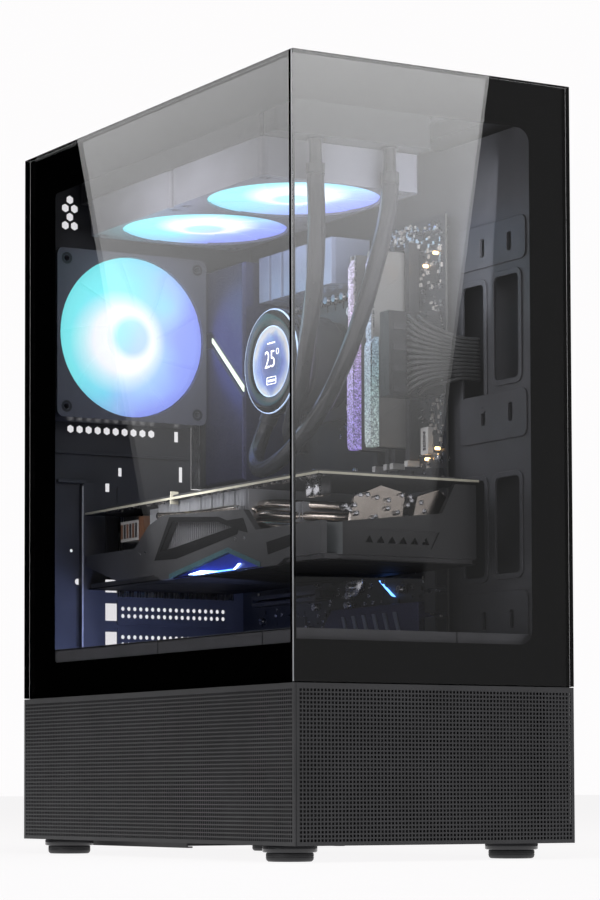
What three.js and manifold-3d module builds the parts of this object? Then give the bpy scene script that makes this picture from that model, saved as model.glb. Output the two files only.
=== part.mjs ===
// Desktop computer tower: a pillarless glass case with its fans, cooler, boards, drive and power supply.
// Millimetres. +Z is up, the glass front faces -Y, the glass side panel faces -X, the ports are at +Y.
// The origin is on the ground below the middle of the bounding box.

import * as THREE from 'three';
import { mergeVertices } from 'three/addons/utils/BufferGeometryUtils.js';
import Module from 'manifold-3d';

const wasm = await Module();
wasm.setup();

// ---------------------------------------------------------------- driving dimensions

const WIDTH = 205;
const DEPTH = 370;
const HEIGHT = 490;
const FOOT_HEIGHT = 10;
const SCREW_REACH = 6;
const GAP = 0.3;
const SHEET = 1;
const SKIN = 1.2;
const GLASS = 4;
const BASE_HEIGHT = 97.5;

const LEFT = -WIDTH / 2;
const RIGHT = WIDTH / 2;
const FRONT = -(DEPTH + SCREW_REACH) / 2;
const REAR = FRONT + DEPTH;
const FLOOR = FOOT_HEIGHT;
const BASE_TOP = FLOOR + BASE_HEIGHT;

// The inner faces that the parts inside the case are set out from.
const LEFT_INNER = LEFT + GLASS + GAP;
const RIGHT_INNER = RIGHT - SHEET - GAP;
const FRONT_INNER = FRONT + GLASS + GAP;
const REAR_INNER = REAR - SHEET;
const ROOF = HEIGHT - 4;

const SHROUD_LEFT = -97;
const SHROUD_FRONT = -178;
const SHROUD_TOP = 114;
const SHROUD_LIP_TOP = 141;
const TRAY_X = 81;
const TRAY_TOP = 468;
const POST_LEFT = 84;

const BOARD_X = 73;
const BOARD_THICKNESS = 1.6;
const BOARD_FRONT = -90;
const BOARD_REAR = 178;
const BOARD_BOTTOM = 118;
const BOARD_TOP = 423;

const SLOT_PITCH = 20.32;
const SLOT_COUNT = 7;
const LOWEST_SLOT_Z = 130.4;
const SLOT_HEIGHT = 12.4;
const SLOT_LEFT = -38.8;
const SLOT_RIGHT = 60;
const CARD_SLOTS = [1, 2, 3];
const COVER_HEIGHT = 18.4;
const COVER_LEFT = -30;
const COVER_RIGHT = 66;

const FAN_SIZE = 120;
const FAN_DEPTH = 25;
const FAN_BORE_RADIUS = 57.5;
const FAN_ROTOR_RADIUS = 55.5;
const FAN_HUB_RADIUS = 20.5;
const REAR_FAN_CENTRE = new THREE.Vector3(-30, REAR_INNER - GAP - FAN_DEPTH / 2, 366);
const ROTOR_LEAD = 3;

const RADIATOR_LEFT = -73;
const RADIATOR_BOTTOM = 457.3;
const RADIATOR_THICKNESS = 27;
const RADIATOR_TANK = 17;
const RADIATOR_MIDDLE_Y = 20;
const TANK_Y = RADIATOR_MIDDLE_Y - FAN_SIZE - RADIATOR_TANK / 2;
const COOLANT_PORTS = [-38, 18];
const PORT_REACH = 8;
const TUBE_RADIUS = 5.7;
const TUBE_TOP = RADIATOR_BOTTOM - PORT_REACH - GAP;

const PUMP_Y = 32;
const PUMP_Z = 336;
const PUMP_RADIUS = 33;
const DISPLAY_RADIUS = 36.5;

// The two barbs leave the pump downwards: each is given by its place across the pump and the way it points.
const BARBS = [
  { x: 40, angle: -70 },
  { x: 34, angle: -38 },
];
const BARB_REACH = 44;

// Points that the two coolant tubes pass through between a radiator port and a barb.
const LOOP_ROUTES = [
  [[-37, -108, 404], [-32, -97, 366], [-25, -77, 336], [-13, -50, 312], [1, -16, 296], [16, 14, 288],
    [31, 38, 284]],
  [[16, -107, 410], [13, -99, 382], [11, -85, 352], [9, -66, 322], [8, -42, 297], [7, -12, 277],
    [9, 22, 265], [14, 52, 264], [23, 73, 275], [31, 78, 291]],
];

// The rear sockets, by middle height and height of each opening.
const PORT_SOCKETS = [[400, 14], [376, 6], [362, 6], [340, 6], [326, 6], [303, 14]];

const MEMORY_Y = [-25, -47];
const MEMORY_TOP_X = 39;

const CARD_SLOT_DEPTH = 11;
const CARD_Z = 240;
const CARD_LEFT = -58;
const CARD_FRONT = -144;
const CARD_BACK = 176;
const CARD_FAN_Y = [112, 17, -78];
const CARD_FAN_RADIUS = 43;

const SUPPLY = { left: -76, right: 74, front: 40, bottom: 12.5, top: 98.5 };
const SUPPLY_FAN_RADIUS = 58;
const SUPPLY_FAN_Y = 112;
const SWITCH = { x: 52, z: 74 };
const INLET = { x: 52, z: 44 };
const CAGE = { left: -54.5, right: 54.5, front: -160, rear: -12, bottom: 13, top: 104 };

const BEZEL = { left: 72.3, right: 98, front: -172, rear: -50, bottom: 474, top: 488.4 };
const BEZEL_X = (BEZEL.left + BEZEL.right) / 2;
const POWER_BUTTON_Y = -155;
const RESET_BUTTON_Y = -135;
const USB_SOCKET_Y = [-112, -92];
const AUDIO_SOCKET_Y = -64;
const BUTTON_DEPTH = 7.5;

const FOOT_X = 82;
const FOOT_FRONT_Y = -148;
const FOOT_REAR_Y = 152;
const SCREW_X = 96;
const SCREW_Z = [40, 460];

// ---------------------------------------------------------------- materials

const finish = (color, roughness, metalness, extra = {}) =>
  new THREE.MeshStandardMaterial({ color, roughness, metalness, ...extra });

const MATERIALS = {
  steel: finish(0x15161a, 0.55, 0.5),
  mesh: finish(0x1b1c20, 0.6, 0.5),
  glass: finish(0x101214, 0.04, 0, { transparent: true, opacity: 0.3 }),
  plastic: finish(0x101114, 0.5, 0),
  gloss: finish(0x08090b, 0.12, 0),
  rubber: finish(0x0c0c0d, 0.75, 0),
  sleeve: finish(0x16171a, 0.7, 0),
  rotor: finish(0x9fc4ff, 0.35, 0),
  board: finish(0x14151a, 0.55, 0.1),
  alloy: finish(0x4a4f5c, 0.4, 0.9),
  bareSteel: finish(0x9a9ca0, 0.35, 0.9),
  memory: finish(0xcfc8ff, 0.3, 0),
  screen: finish(0x2438a8, 0.1, 0),
  filter: finish(0x0e0f11, 0.8, 0),
};

// ---------------------------------------------------------------- solid helpers

function toSolid(geometry) {
  const bare = geometry.clone();
  bare.deleteAttribute('normal');
  bare.deleteAttribute('uv');
  const merged = mergeVertices(bare, 1e-4);
  const corners = merged.index.array;
  const kept = [];
  for (let i = 0; i < corners.length; i += 3) {
    const [a, b, c] = corners.slice(i, i + 3);
    if (a !== b && b !== c && c !== a) kept.push(a, b, c);
  }
  const vertProperties = new Float32Array(merged.attributes.position.array);
  return new wasm.Manifold(new wasm.Mesh({ numProp: 3, vertProperties, triVerts: new Uint32Array(kept) }));
}

function toGeometry(solid) {
  const mesh = solid.getMesh();
  const geometry = new THREE.BufferGeometry();
  geometry.setAttribute('position', new THREE.BufferAttribute(new Float32Array(mesh.vertProperties), 3));
  geometry.setIndex(new THREE.BufferAttribute(new Uint32Array(mesh.triVerts), 1));
  return geometry;
}

function join(...geometries) {
  return toGeometry(geometries.map(toSolid).reduce((whole, piece) => whole.add(piece)));
}

function cut(body, ...tools) {
  return toGeometry(tools.map(toSolid).reduce((rest, tool) => rest.subtract(tool), toSolid(body)));
}

const around = (middle, half) => [middle - half, middle + half];

// A box from its lowest and highest coordinate on each axis.
function block([x0, x1], [y0, y1], [z0, z1]) {
  const box = new THREE.BoxGeometry(x1 - x0, y1 - y0, z1 - z0);
  return box.translate((x0 + x1) / 2, (y0 + y1) / 2, (z0 + z1) / 2);
}

// A cylinder along one axis, from one coordinate on that axis to another.
function rod(axis, [x, y, z], radius, [from, to], sides = 16, endRadius = radius) {
  const cylinder = new THREE.CylinderGeometry(endRadius, radius, to - from, sides);
  const middle = (from + to) / 2;
  if (axis === 'x') return cylinder.rotateZ(-Math.PI / 2).translate(middle, y, z);
  if (axis === 'y') return cylinder.translate(x, middle, z);
  return cylinder.rotateX(Math.PI / 2).translate(x, y, middle);
}

// An outline given in two coordinates, pushed along the third.
function extrude(axis, points, [from, to]) {
  const shape = new THREE.Shape(points.map(([u, v]) => new THREE.Vector2(u, v)));
  const solid = new THREE.ExtrudeGeometry(shape, { depth: to - from, bevelEnabled: false });
  if (axis === 'z') return solid.translate(0, 0, from);
  return solid.rotateZ(Math.PI / 2).rotateY(Math.PI / 2).translate(from, 0, 0);
}

// Points along an arc in a plane, in degrees.
function arc([u, v], radius, fromDegrees, toDegrees, steps) {
  return Array.from({ length: steps + 1 }, (_, i) => {
    const angle = THREE.MathUtils.degToRad(fromDegrees + ((toDegrees - fromDegrees) * i) / steps);
    return [u + radius * Math.cos(angle), v + radius * Math.sin(angle)];
  });
}

const group = new THREE.Group();

function add(name, geometry, material, position = [0, 0, 0], rotation = [0, 0, 0]) {
  const mesh = new THREE.Mesh(geometry, material);
  mesh.name = name;
  mesh.position.set(...position);
  mesh.rotation.set(...rotation);
  group.add(mesh);
}

// ---------------------------------------------------------------- case frame

function chassisFloor() {
  const lipHeight = 12;
  const railX = 60.4;
  const railBottom = FLOOR - 4.6;
  const length = [FRONT + SKIN + GAP, REAR_INNER - GAP];
  const left = LEFT + SKIN + GAP;
  const parts = [
    block([left, RIGHT_INNER], length, [FLOOR, FLOOR + SHEET]),
    block([left, left + SHEET], length, [FLOOR, FLOOR + lipHeight]),
    block([RIGHT_INNER - SHEET, RIGHT_INNER], length, [FLOOR, FLOOR + lipHeight]),
  ];
  for (const side of [-1, 1]) {
    const wall = [side * railX, side * (railX + 1)].sort((a, b) => a - b);
    const lip = [side * (railX - 3.5), side * (railX + 1)].sort((a, b) => a - b);
    parts.push(block(wall, [20, REAR_INNER - 4], [railBottom, FLOOR + SHEET / 2]));
    parts.push(block(lip, [20, REAR_INNER - 4], [railBottom, railBottom + SHEET]));
  }
  return join(...parts);
}

const slotZ = (number) => LOWEST_SLOT_Z + SLOT_PITCH * (SLOT_COUNT - 1 - number);

function rearWall() {
  const across = [REAR - 3, REAR + 3];
  const sheet = block([LEFT_INNER, RIGHT_INNER], [REAR_INNER, REAR], [FLOOR, ROOF + 1]);
  const portWindow = block([31, 72], across, [262, 420]);
  const rim = 3;
  const supplyWindow = block(
    [SUPPLY.left + rim, SUPPLY.right - rim],
    across,
    [SUPPLY.bottom + rim, SUPPLY.top - rim],
  );
  const slots = [];
  for (let number = 0; number < SLOT_COUNT; number += 1) {
    const z = slotZ(number);
    slots.push(block([SLOT_LEFT, SLOT_RIGHT], across, around(z, SLOT_HEIGHT / 2)));
  }
  const screwHoles = SCREW_Z.map((z) => rod('y', [SCREW_X, 0, z], 2.6, across, 10));
  return cut(sheet, portWindow, supplyWindow, ...slots, ...screwHoles);
}

function motherboardTray() {
  const across = [TRAY_X - 3, TRAY_X + 4];
  const sheet = block([TRAY_X, TRAY_X + SHEET], [-176, REAR_INNER - GAP], [FLOOR + 1.5, TRAY_TOP]);
  const cableWindows = [
    block(across, [-163, -135], [306, 374]),
    block(across, [-163, -135], [181, 244]),
    block(across, [-124, -99], [290, 372]),
    block(across, [-124, -99], [180, 244]),
    block(across, [-166, 168], [24, SHROUD_TOP - 6]),
  ];
  const tieSlots = [];
  for (const y of [-122.5, -153]) {
    for (const z of [394, 270, 155.5]) {
      tieSlots.push(block(across, around(y, 1.6), around(z, 5)));
    }
  }
  const standoffs = [];
  for (const y of [-80, 22, 166]) {
    for (const z of [126, 262, 415]) {
      standoffs.push(rod('x', [0, y, z], 3, [BOARD_X + BOARD_THICKNESS + GAP, TRAY_X + SHEET / 2], 8));
    }
  }
  return join(cut(sheet, ...cableWindows, ...tieSlots), ...standoffs);
}

function topFrame() {
  const lip = 20;
  const left = LEFT_INNER;
  const roof = [ROOF - SHEET, ROOF];
  const sheet = join(
    block([left, RIGHT_INNER], [FRONT_INNER, REAR_INNER - GAP], roof),
    block([left, left + SHEET], [FRONT_INNER, REAR_INNER - GAP], [ROOF - lip, ROOF]),
    block([left, 71], [FRONT_INNER, FRONT_INNER + SHEET], [ROOF - lip, ROOF]),
  );
  const bezelHole = block(
    [BEZEL.left - GAP, BEZEL.right + GAP],
    [BEZEL.front - GAP, BEZEL.rear + GAP],
    [ROOF - 3, ROOF + 3],
  );
  return cut(sheet, bezelHole);
}

// A channel-section post in the front right corner, open towards the rear.
function frontPost() {
  const [x0, x1] = [POST_LEFT, RIGHT_INNER - SHEET - GAP];
  const [y0, y1] = [FRONT_INNER, -158];
  const t = SKIN;
  const outline = [
    [x0, y0], [x1, y0], [x1, y1], [x1 - t, y1], [x1 - t, y0 + t], [x0 + t, y0 + t], [x0 + t, y1], [x0, y1],
  ];
  return extrude('z', outline, [FLOOR + SHEET + GAP, TRAY_TOP]);
}

function supplyShroud() {
  const t = SKIN;
  const left = SHROUD_LEFT;
  const back = REAR_INNER - GAP;
  const front = SHROUD_FRONT;
  const right = TRAY_X - GAP;
  return join(
    block([left, right], [front, back], [SHROUD_TOP - t, SHROUD_TOP]),
    block([left, left + t], [front, back], [FLOOR + SHEET + GAP, SHROUD_LIP_TOP]),
    block([left, right], [front, front + t], [FLOOR + SHEET + GAP, SHROUD_LIP_TOP]),
  );
}

// ---------------------------------------------------------------- panels, filters, feet and screws

const sideGlass = () => block([LEFT, LEFT + GLASS], [FRONT_INNER, REAR], [BASE_TOP + 0.7, HEIGHT]);
const frontGlass = () => block([LEFT, RIGHT], [FRONT, FRONT + GLASS], [BASE_TOP + 0.7, HEIGHT]);

function rightPanel() {
  const flange = block([SCREW_X - 6, RIGHT], [REAR + GAP, REAR + GAP + SHEET], [FLOOR, ROOF + 2]);
  const sheet = block([RIGHT - SHEET, RIGHT], [FRONT_INNER, REAR + GAP + SHEET], [FLOOR, ROOF + 2]);
  const holes = SCREW_Z.map((z) => rod('y', [SCREW_X, 0, z], 2.4, [REAR - 2, REAR + 4], 10));
  return cut(join(sheet, flange), ...holes);
}

function thumbscrew() {
  const head = rod('y', [0, 0, 0], 5.6, [REAR + 2 * GAP + SHEET, REAR + SCREW_REACH], 14);
  const shank = rod('y', [0, 0, 0], 2, [REAR_INNER - 6, REAR + 3], 10);
  return join(head, shank);
}

function sideBaseMesh() {
  return join(
    block([LEFT, LEFT + SKIN], [FRONT, REAR], [FLOOR, BASE_TOP]),
    block([LEFT, SHROUD_LEFT - GAP], [FRONT + 2, REAR_INNER - GAP], [BASE_TOP - SKIN, BASE_TOP]),
  );
}

function frontBaseMesh() {
  return join(
    block([LEFT + SKIN + GAP, RIGHT], [FRONT, FRONT + SKIN], [FLOOR, BASE_TOP]),
    block([SHROUD_LEFT + 1, POST_LEFT - GAP], [FRONT, SHROUD_FRONT - GAP], [BASE_TOP - SKIN, BASE_TOP]),
  );
}

function topFilter() {
  const [bottom, top] = [ROOF + GAP, ROOF + 2];
  return block([-86, 68], [-160, 166], [bottom, top]);
}

function bottomFilter() {
  const [bottom, top] = [FLOOR - 3.3, FLOOR - GAP];
  return join(
    block([-60, 60], [22, REAR_INNER - 8], [bottom, top]),
    block([-18, 18], [REAR_INNER - 9, REAR_INNER - 2], [bottom - 1.5, top]),
  );
}

function foot() {
  const top = FOOT_HEIGHT - GAP;
  const profile = [[0, 0], [13.6, 0], [14.6, 1], [14.6, 5.4], [16.8, 6.4], [16.8, top], [0, top]];
  const lathe = new THREE.LatheGeometry(profile.map(([r, z]) => new THREE.Vector2(r, z)), 20);
  return toGeometry(toSolid(lathe.rotateX(Math.PI / 2)));
}

// ---------------------------------------------------------------- front controls

function controlBezel() {
  const body = block([BEZEL.left, BEZEL.right], [BEZEL.front, BEZEL.rear], [BEZEL.bottom, BEZEL.top]);
  const pocket = (y, radius, depth) =>
    rod('z', [BEZEL_X, y, 0], radius, [BEZEL.top - depth, BEZEL.top + 1], 20);
  const usb = USB_SOCKET_Y.map((y) =>
    block(around(BEZEL_X, 2.6), around(y, 6.2), [BEZEL.top - 10, BEZEL.top + 1]));
  return cut(
    body,
    pocket(POWER_BUTTON_Y, 7.2, BUTTON_DEPTH + 2.5),
    pocket(RESET_BUTTON_Y, 3.7, BUTTON_DEPTH + 2.5),
    pocket(AUDIO_SOCKET_Y, 1.8, 10),
    ...usb,
  );
}

const button = (radius) => rod('z', [0, 0, 0], radius, [-BUTTON_DEPTH, 1], 20, radius - 0.3);

// ---------------------------------------------------------------- fans

// A fan rotor about +Z: a hub with flat pitched blades that widen towards their tips.
function rotor({ radius, hub, depth, blades, pitch }) {
  const root = hub * 0.8;
  const rootHalf = 0.28 * hub;
  const tipHalf = Math.min(0.3 * radius, (depth / 2 - 0.8) / Math.sin(pitch));
  const tip = Math.sqrt(radius ** 2 - (tipHalf * Math.cos(pitch)) ** 2) - 0.5;
  const outline = [[root, -rootHalf], [tip, -tipHalf], [tip, tipHalf], [root, rootHalf]];
  const solids = [rod('z', [0, 0, 0], hub, [-depth / 2, depth / 2], 20)];
  for (let i = 0; i < blades; i += 1) {
    solids.push(extrude('z', outline, [-0.6, 0.6]).rotateX(pitch).rotateZ((2 * Math.PI * i) / blades));
  }
  return join(...solids);
}

// A square fan frame about +Z, with its motor mount and four struts on the +Z side.
function fanFrame() {
  const half = FAN_SIZE / 2;
  const chamfer = 5;
  const corner = half - chamfer;
  const outline = [
    [-corner, -half], [corner, -half], [half, -corner], [half, corner],
    [corner, half], [-corner, half], [-half, corner], [-half, -corner],
  ];
  const back = FAN_DEPTH / 2;
  const bore = rod('z', [0, 0, 0], FAN_BORE_RADIUS, [-back - 1, back + 1], 32);
  const ring = cut(extrude('z', outline, [-back, back]), bore);
  const struts = [0, 1].map((turn) =>
    block([-FAN_BORE_RADIUS - 1.5, FAN_BORE_RADIUS + 1.5], [-2.5, 2.5], [back - 3.2, back - 0.2])
      .rotateZ(Math.PI / 4 + (turn * Math.PI) / 2));
  return join(ring, rod('z', [0, 0, 0], FAN_HUB_RADIUS, [back - 3.2, back - 0.2], 20), ...struts);
}

const CASE_ROTOR = { radius: FAN_ROTOR_RADIUS, hub: FAN_HUB_RADIUS, depth: 18, blades: 9, pitch: 0.6 };
const CARD_ROTOR = { radius: CARD_FAN_RADIUS, hub: 15, depth: 11, blades: 11, pitch: 0.5 };
const SUPPLY_ROTOR = { radius: SUPPLY_FAN_RADIUS, hub: 19, depth: 15, blades: 7, pitch: 0.5 };

// ---------------------------------------------------------------- liquid cooler

function radiator() {
  const right = RADIATOR_LEFT + FAN_SIZE;
  const height = [RADIATOR_BOTTOM, RADIATOR_BOTTOM + RADIATOR_THICKNESS];
  const core = block([RADIATOR_LEFT, right], around(RADIATOR_MIDDLE_Y, FAN_SIZE), height);
  const tanks = [-1, 1].map((end) => {
    const near = RADIATOR_MIDDLE_Y + end * (FAN_SIZE - 1);
    const far = RADIATOR_MIDDLE_Y + end * (FAN_SIZE + RADIATOR_TANK);
    const span = [near, far].sort((a, b) => a - b);
    return block([RADIATOR_LEFT + 2, right - 2], span, height);
  });
  const ports = COOLANT_PORTS.map((x) =>
    rod('z', [x, TANK_Y, 0], 6.6, [RADIATOR_BOTTOM - PORT_REACH, RADIATOR_BOTTOM + 1], 16));
  return join(core, ...tanks, ...ports);
}

function barbPoint({ x, angle }, reach) {
  const turn = THREE.MathUtils.degToRad(angle);
  return new THREE.Vector3(x, PUMP_Y + reach * Math.cos(turn), PUMP_Z + reach * Math.sin(turn));
}

function pumpBlock() {
  const housing = rod('x', [0, PUMP_Y, PUMP_Z], PUMP_RADIUS, [20.5, 62], 32);
  const plate = block([60, BOARD_X - 5], around(PUMP_Y, 38), around(PUMP_Z, 38));
  const barbs = BARBS.map((barb) => {
    const length = BARB_REACH - PUMP_RADIUS + 6;
    const middle = barbPoint(barb, BARB_REACH - length / 2);
    const stub = new THREE.CylinderGeometry(6.4, 6.4, length, 12);
    return stub.rotateX(THREE.MathUtils.degToRad(barb.angle)).translate(middle.x, middle.y, middle.z);
  });
  return join(housing, plate, ...barbs);
}

const pumpDisplay = () => rod('x', [0, PUMP_Y, PUMP_Z], DISPLAY_RADIUS, [11, 20.2], 32);

function coolantTube(port, barb, middlePoints) {
  const route = [
    new THREE.Vector3(port, TANK_Y, TUBE_TOP),
    new THREE.Vector3(port, TANK_Y, TUBE_TOP - 18),
    ...middlePoints.map((point) => new THREE.Vector3(...point)),
    barbPoint(barb, BARB_REACH + 6),
    barbPoint(barb, BARB_REACH + GAP),
  ];
  const corners = arc([0, 0], TUBE_RADIUS, 0, 315, 7).map(([u, v]) => new THREE.Vector2(u, v));
  const section = new THREE.Shape(corners);
  const path = new THREE.CatmullRomCurve3(route, false, 'centripetal');
  return toGeometry(toSolid(new THREE.ExtrudeGeometry(section, { steps: 26, extrudePath: path })));
}

// ---------------------------------------------------------------- boards

function motherboard() {
  const depth = [BOARD_X, BOARD_X + BOARD_THICKNESS];
  const sheet = block(depth, [BOARD_FRONT, BOARD_REAR], [BOARD_BOTTOM, BOARD_TOP]);
  const cardSlots = [0, 3, 4.5].map((step) => CARD_Z - SLOT_PITCH * step).map((z) =>
    block([BOARD_X - CARD_SLOT_DEPTH, BOARD_X + 0.5], [58, 147], around(z, 3.6)));
  const socket = block([BOARD_X - 4.5, BOARD_X + 0.5], around(PUMP_Y, 26), around(PUMP_Z, 26));
  const powerSocket = block([BOARD_X - 12, BOARD_X + 0.5], [-86, -75], [302, 358]);
  return join(sheet, socket, powerSocket, ...cardSlots);
}

function portCover() {
  const outline = [[31, 113], [38, 105], [72.5, 105], [72.5, 160], [31, 160]];
  return extrude('z', outline, [262, 418]);
}

// The block of rear connectors, with its network, USB and audio sockets open to the rear.
function portBlock() {
  const body = block([31.5, 71.5], [160.5, REAR - GAP], [262.5, 419.5]);
  const depth = [REAR - 13, REAR + 1];
  const sockets = PORT_SOCKETS.map(([z, height]) => block([38, 54], depth, around(z, height / 2)));
  return cut(body, ...sockets);
}

function regulatorHeatsink() {
  const body = block([42, BOARD_X - GAP], [2, 103], [388, 420]);
  const grooves = [0, 1, 2, 3, 4].map((i) => block([40, 56], [12 + 20 * i, 15 + 20 * i], [380, 430]));
  return cut(body, ...grooves);
}

const chipsetHeatsink = () => block([62, BOARD_X - GAP], [-72, 50], [126, 168]);

function memoryModule(y) {
  const [z0, z1] = [270, 403.3];
  return block([MEMORY_TOP_X, BOARD_X - GAP], around(y, 3.8), [z0, z1]);
}

// The plug on the board edge and its bundle of wires, which turns into the tray's cable window.
function boardCable() {
  const [near, far] = [-99.4, -109.4];
  const plug = block([31, 60.6], [-86.5, -75.5], [300, 356]);
  const wires = extrude('z', [
    [60.6, -86], [60.6, -90], [66, near], [90, near], [90, far], [60, far], [46, -98], [46, -86],
  ], [308, 352]);
  return join(plug, wires);
}

// ---------------------------------------------------------------- graphics card

function cardBoard() {
  const right = BOARD_X - CARD_SLOT_DEPTH - GAP;
  return block([CARD_LEFT, right], [CARD_FRONT, CARD_BACK], around(CARD_Z, BOARD_THICKNESS / 2));
}

const cardBackplate = () => block([CARD_LEFT + 1, 56], [CARD_FRONT + 1, 150], [CARD_Z + 1.1, CARD_Z + 2.6]);
const cardHeatsink = () => block([CARD_LEFT + 6, 56], [CARD_FRONT + 6, 168], [204.5, CARD_Z - 1.1]);

function cardShroud() {
  const [low, high] = [185.5, 204.2];
  const tray = block([CARD_LEFT, 58], [CARD_FRONT - 2, 174], [low, high]);
  const fanHoles = CARD_FAN_Y.map((y) => rod('z', [0, y, 0], CARD_FAN_RADIUS + 2, [low - 1, high + 1], 28));
  const skirt = extrude('x', [
    [CARD_FRONT - 2, low + 4], [174, low + 4], [174, 210], [100, 210], [80, 224], [60, 229.5], [-50, 224.5],
    [-66, 210], [CARD_FRONT - 2, 210],
  ], [CARD_LEFT, CARD_LEFT + 5]);
  const window = extrude('x', [[63, 205], [46, 224], [-17, 219], [-36, 214], [42, 206.5]],
    [CARD_LEFT - 1, CARD_LEFT + 5.5]);
  const notch = [[50, low - 1], [-30, 198], [-72, low - 1]];
  const lightNotch = extrude('x', notch, [CARD_LEFT - 1, CARD_LEFT + 8]);
  return cut(join(cut(tray, ...fanHoles), skirt), window, lightNotch);
}

function cardBracket() {
  const back = REAR_INNER - GAP;
  const low = slotZ(CARD_SLOTS[2]) - COVER_HEIGHT / 2;
  const high = slotZ(CARD_SLOTS[0]) + COVER_HEIGHT / 2;
  return block([COVER_LEFT, COVER_RIGHT], [back - SHEET, back], [low, high]);
}

function slotCover(number) {
  const back = REAR_INNER - GAP;
  const z = slotZ(number);
  return block([COVER_LEFT, COVER_RIGHT], [back - SHEET, back], around(z, COVER_HEIGHT / 2));
}

function slotScrewCover() {
  const z = [slotZ(SLOT_COUNT - 1) - 12, slotZ(0) + 12];
  return join(
    block([-58, -41], [REAR + 2.6, REAR + 3.8], z),
    block([-58, -56.8], [REAR + GAP, REAR + 3], z),
  );
}

// ---------------------------------------------------------------- power supply and drives

function supplyCase() {
  const back = REAR_INNER - GAP;
  const body = block([SUPPLY.left, SUPPLY.right], [SUPPLY.front, back], [SUPPLY.bottom, SUPPLY.top]);
  const fanWell = rod('z', [-1, SUPPLY_FAN_Y, 0], SUPPLY_FAN_RADIUS + 2, [SUPPLY.bottom - 1, 46], 32);
  const switchWell = block(around(SWITCH.x, 11), [back - 14, back + 1], around(SWITCH.z, 8));
  const inletWell = block(around(INLET.x, 15), [back - 22, back + 1], around(INLET.z, 12));
  return cut(body, fanWell, switchWell, inletWell);
}

// A rocker that turns about X: two flat faces meeting at its middle, one pressed flush.
function switchRocker() {
  const outline = [
    [0, -6.6], [0.9, -6.6], [2.6, 0], [2.6, 6.6], [-1.5, 6.6], [-5.5, 3.5], [-5.5, -3.5], [-1.5, -6.6],
  ];
  return extrude('x', outline, [-9.5, 9.5]);
}

function powerInlet() {
  const back = REAR_INNER - GAP;
  const body = block(around(INLET.x, 14.7), [back - 21.7, back + 1.5], around(INLET.z, 11.7));
  const socket = block(around(INLET.x, 12), [back - 15, back + 3], around(INLET.z, 8));
  const pins = [[-7, -1], [0, 3], [7, -1]].map(([x, z]) =>
    block(around(INLET.x + x, 1), [back - 17, back - 3], around(INLET.z + z, 2)));
  return join(cut(body, socket), ...pins);
}

function driveCage() {
  const t = 1;
  const y = [CAGE.front, CAGE.rear];
  const shelf = (z) => block([CAGE.left, CAGE.right], y, [z, z + t]);
  return join(
    shelf(CAGE.bottom),
    shelf(58),
    shelf(CAGE.top - t),
    block([CAGE.left, CAGE.left + t], y, [CAGE.bottom, CAGE.top]),
    block([CAGE.right - t, CAGE.right], y, [CAGE.bottom, CAGE.top]),
  );
}

const hardDrive = () => block([-50.8, 50.8], [-158, -14], [20, 46]);

// ---------------------------------------------------------------- assembly

add('chassis_floor', chassisFloor(), MATERIALS.steel);
add('rear_wall', rearWall(), MATERIALS.steel);
add('motherboard_tray', motherboardTray(), MATERIALS.steel);
add('top_frame', topFrame(), MATERIALS.steel);
add('front_post', frontPost(), MATERIALS.steel);
add('psu_shroud', supplyShroud(), MATERIALS.steel);
add('side_base_mesh', sideBaseMesh(), MATERIALS.mesh);
add('front_base_mesh', frontBaseMesh(), MATERIALS.mesh);
add('side_glass', sideGlass(), MATERIALS.glass);
add('front_glass', frontGlass(), MATERIALS.glass);
add('right_side_panel', rightPanel(), MATERIALS.steel);
add('top_dust_filter', topFilter(), MATERIALS.filter);
add('bottom_dust_filter', bottomFilter(), MATERIALS.filter);

SCREW_Z.forEach((z, i) => add(`thumbscrew_${i + 1}`, thumbscrew(), MATERIALS.steel, [SCREW_X, 0, z]));

[[-1, FOOT_FRONT_Y], [1, FOOT_FRONT_Y], [-1, FOOT_REAR_Y], [1, FOOT_REAR_Y]].forEach(([side, y], i) =>
  add(`foot_${i + 1}`, foot(), MATERIALS.rubber, [side * FOOT_X, y, 0]));

add('control_bezel', controlBezel(), MATERIALS.plastic);
add('power_button', button(6.8), MATERIALS.gloss, [BEZEL_X, POWER_BUTTON_Y, BEZEL.top]);
add('reset_button', button(3.3), MATERIALS.gloss, [BEZEL_X, RESET_BUTTON_Y, BEZEL.top]);

const FAN_TURN = [-Math.PI / 2, 0, 0];
add('rear_fan_frame', fanFrame(), MATERIALS.plastic, REAR_FAN_CENTRE.toArray(), FAN_TURN);
add('rear_fan_rotor', rotor(CASE_ROTOR).translate(0, 0, -ROTOR_LEAD), MATERIALS.rotor, REAR_FAN_CENTRE.toArray(),
  FAN_TURN);

[-1, 1].forEach((end, i) => {
  const x = RADIATOR_LEFT + FAN_SIZE / 2;
  const y = RADIATOR_MIDDLE_Y + (end * (FAN_SIZE + GAP)) / 2;
  const z = RADIATOR_BOTTOM - GAP - FAN_DEPTH / 2;
  add(`top_fan_frame_${i + 1}`, fanFrame(), MATERIALS.plastic, [x, y, z]);
  add(`top_fan_rotor_${i + 1}`, rotor(CASE_ROTOR), MATERIALS.rotor, [x, y, z - ROTOR_LEAD]);
});

add('radiator', radiator(), MATERIALS.plastic);
add('pump_block', pumpBlock(), MATERIALS.plastic);
add('pump_display', pumpDisplay(), MATERIALS.screen);
BARBS.forEach((barb, i) =>
  add(`coolant_tube_${i + 1}`, coolantTube(COOLANT_PORTS[i], barb, LOOP_ROUTES[i]), MATERIALS.sleeve));

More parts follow.
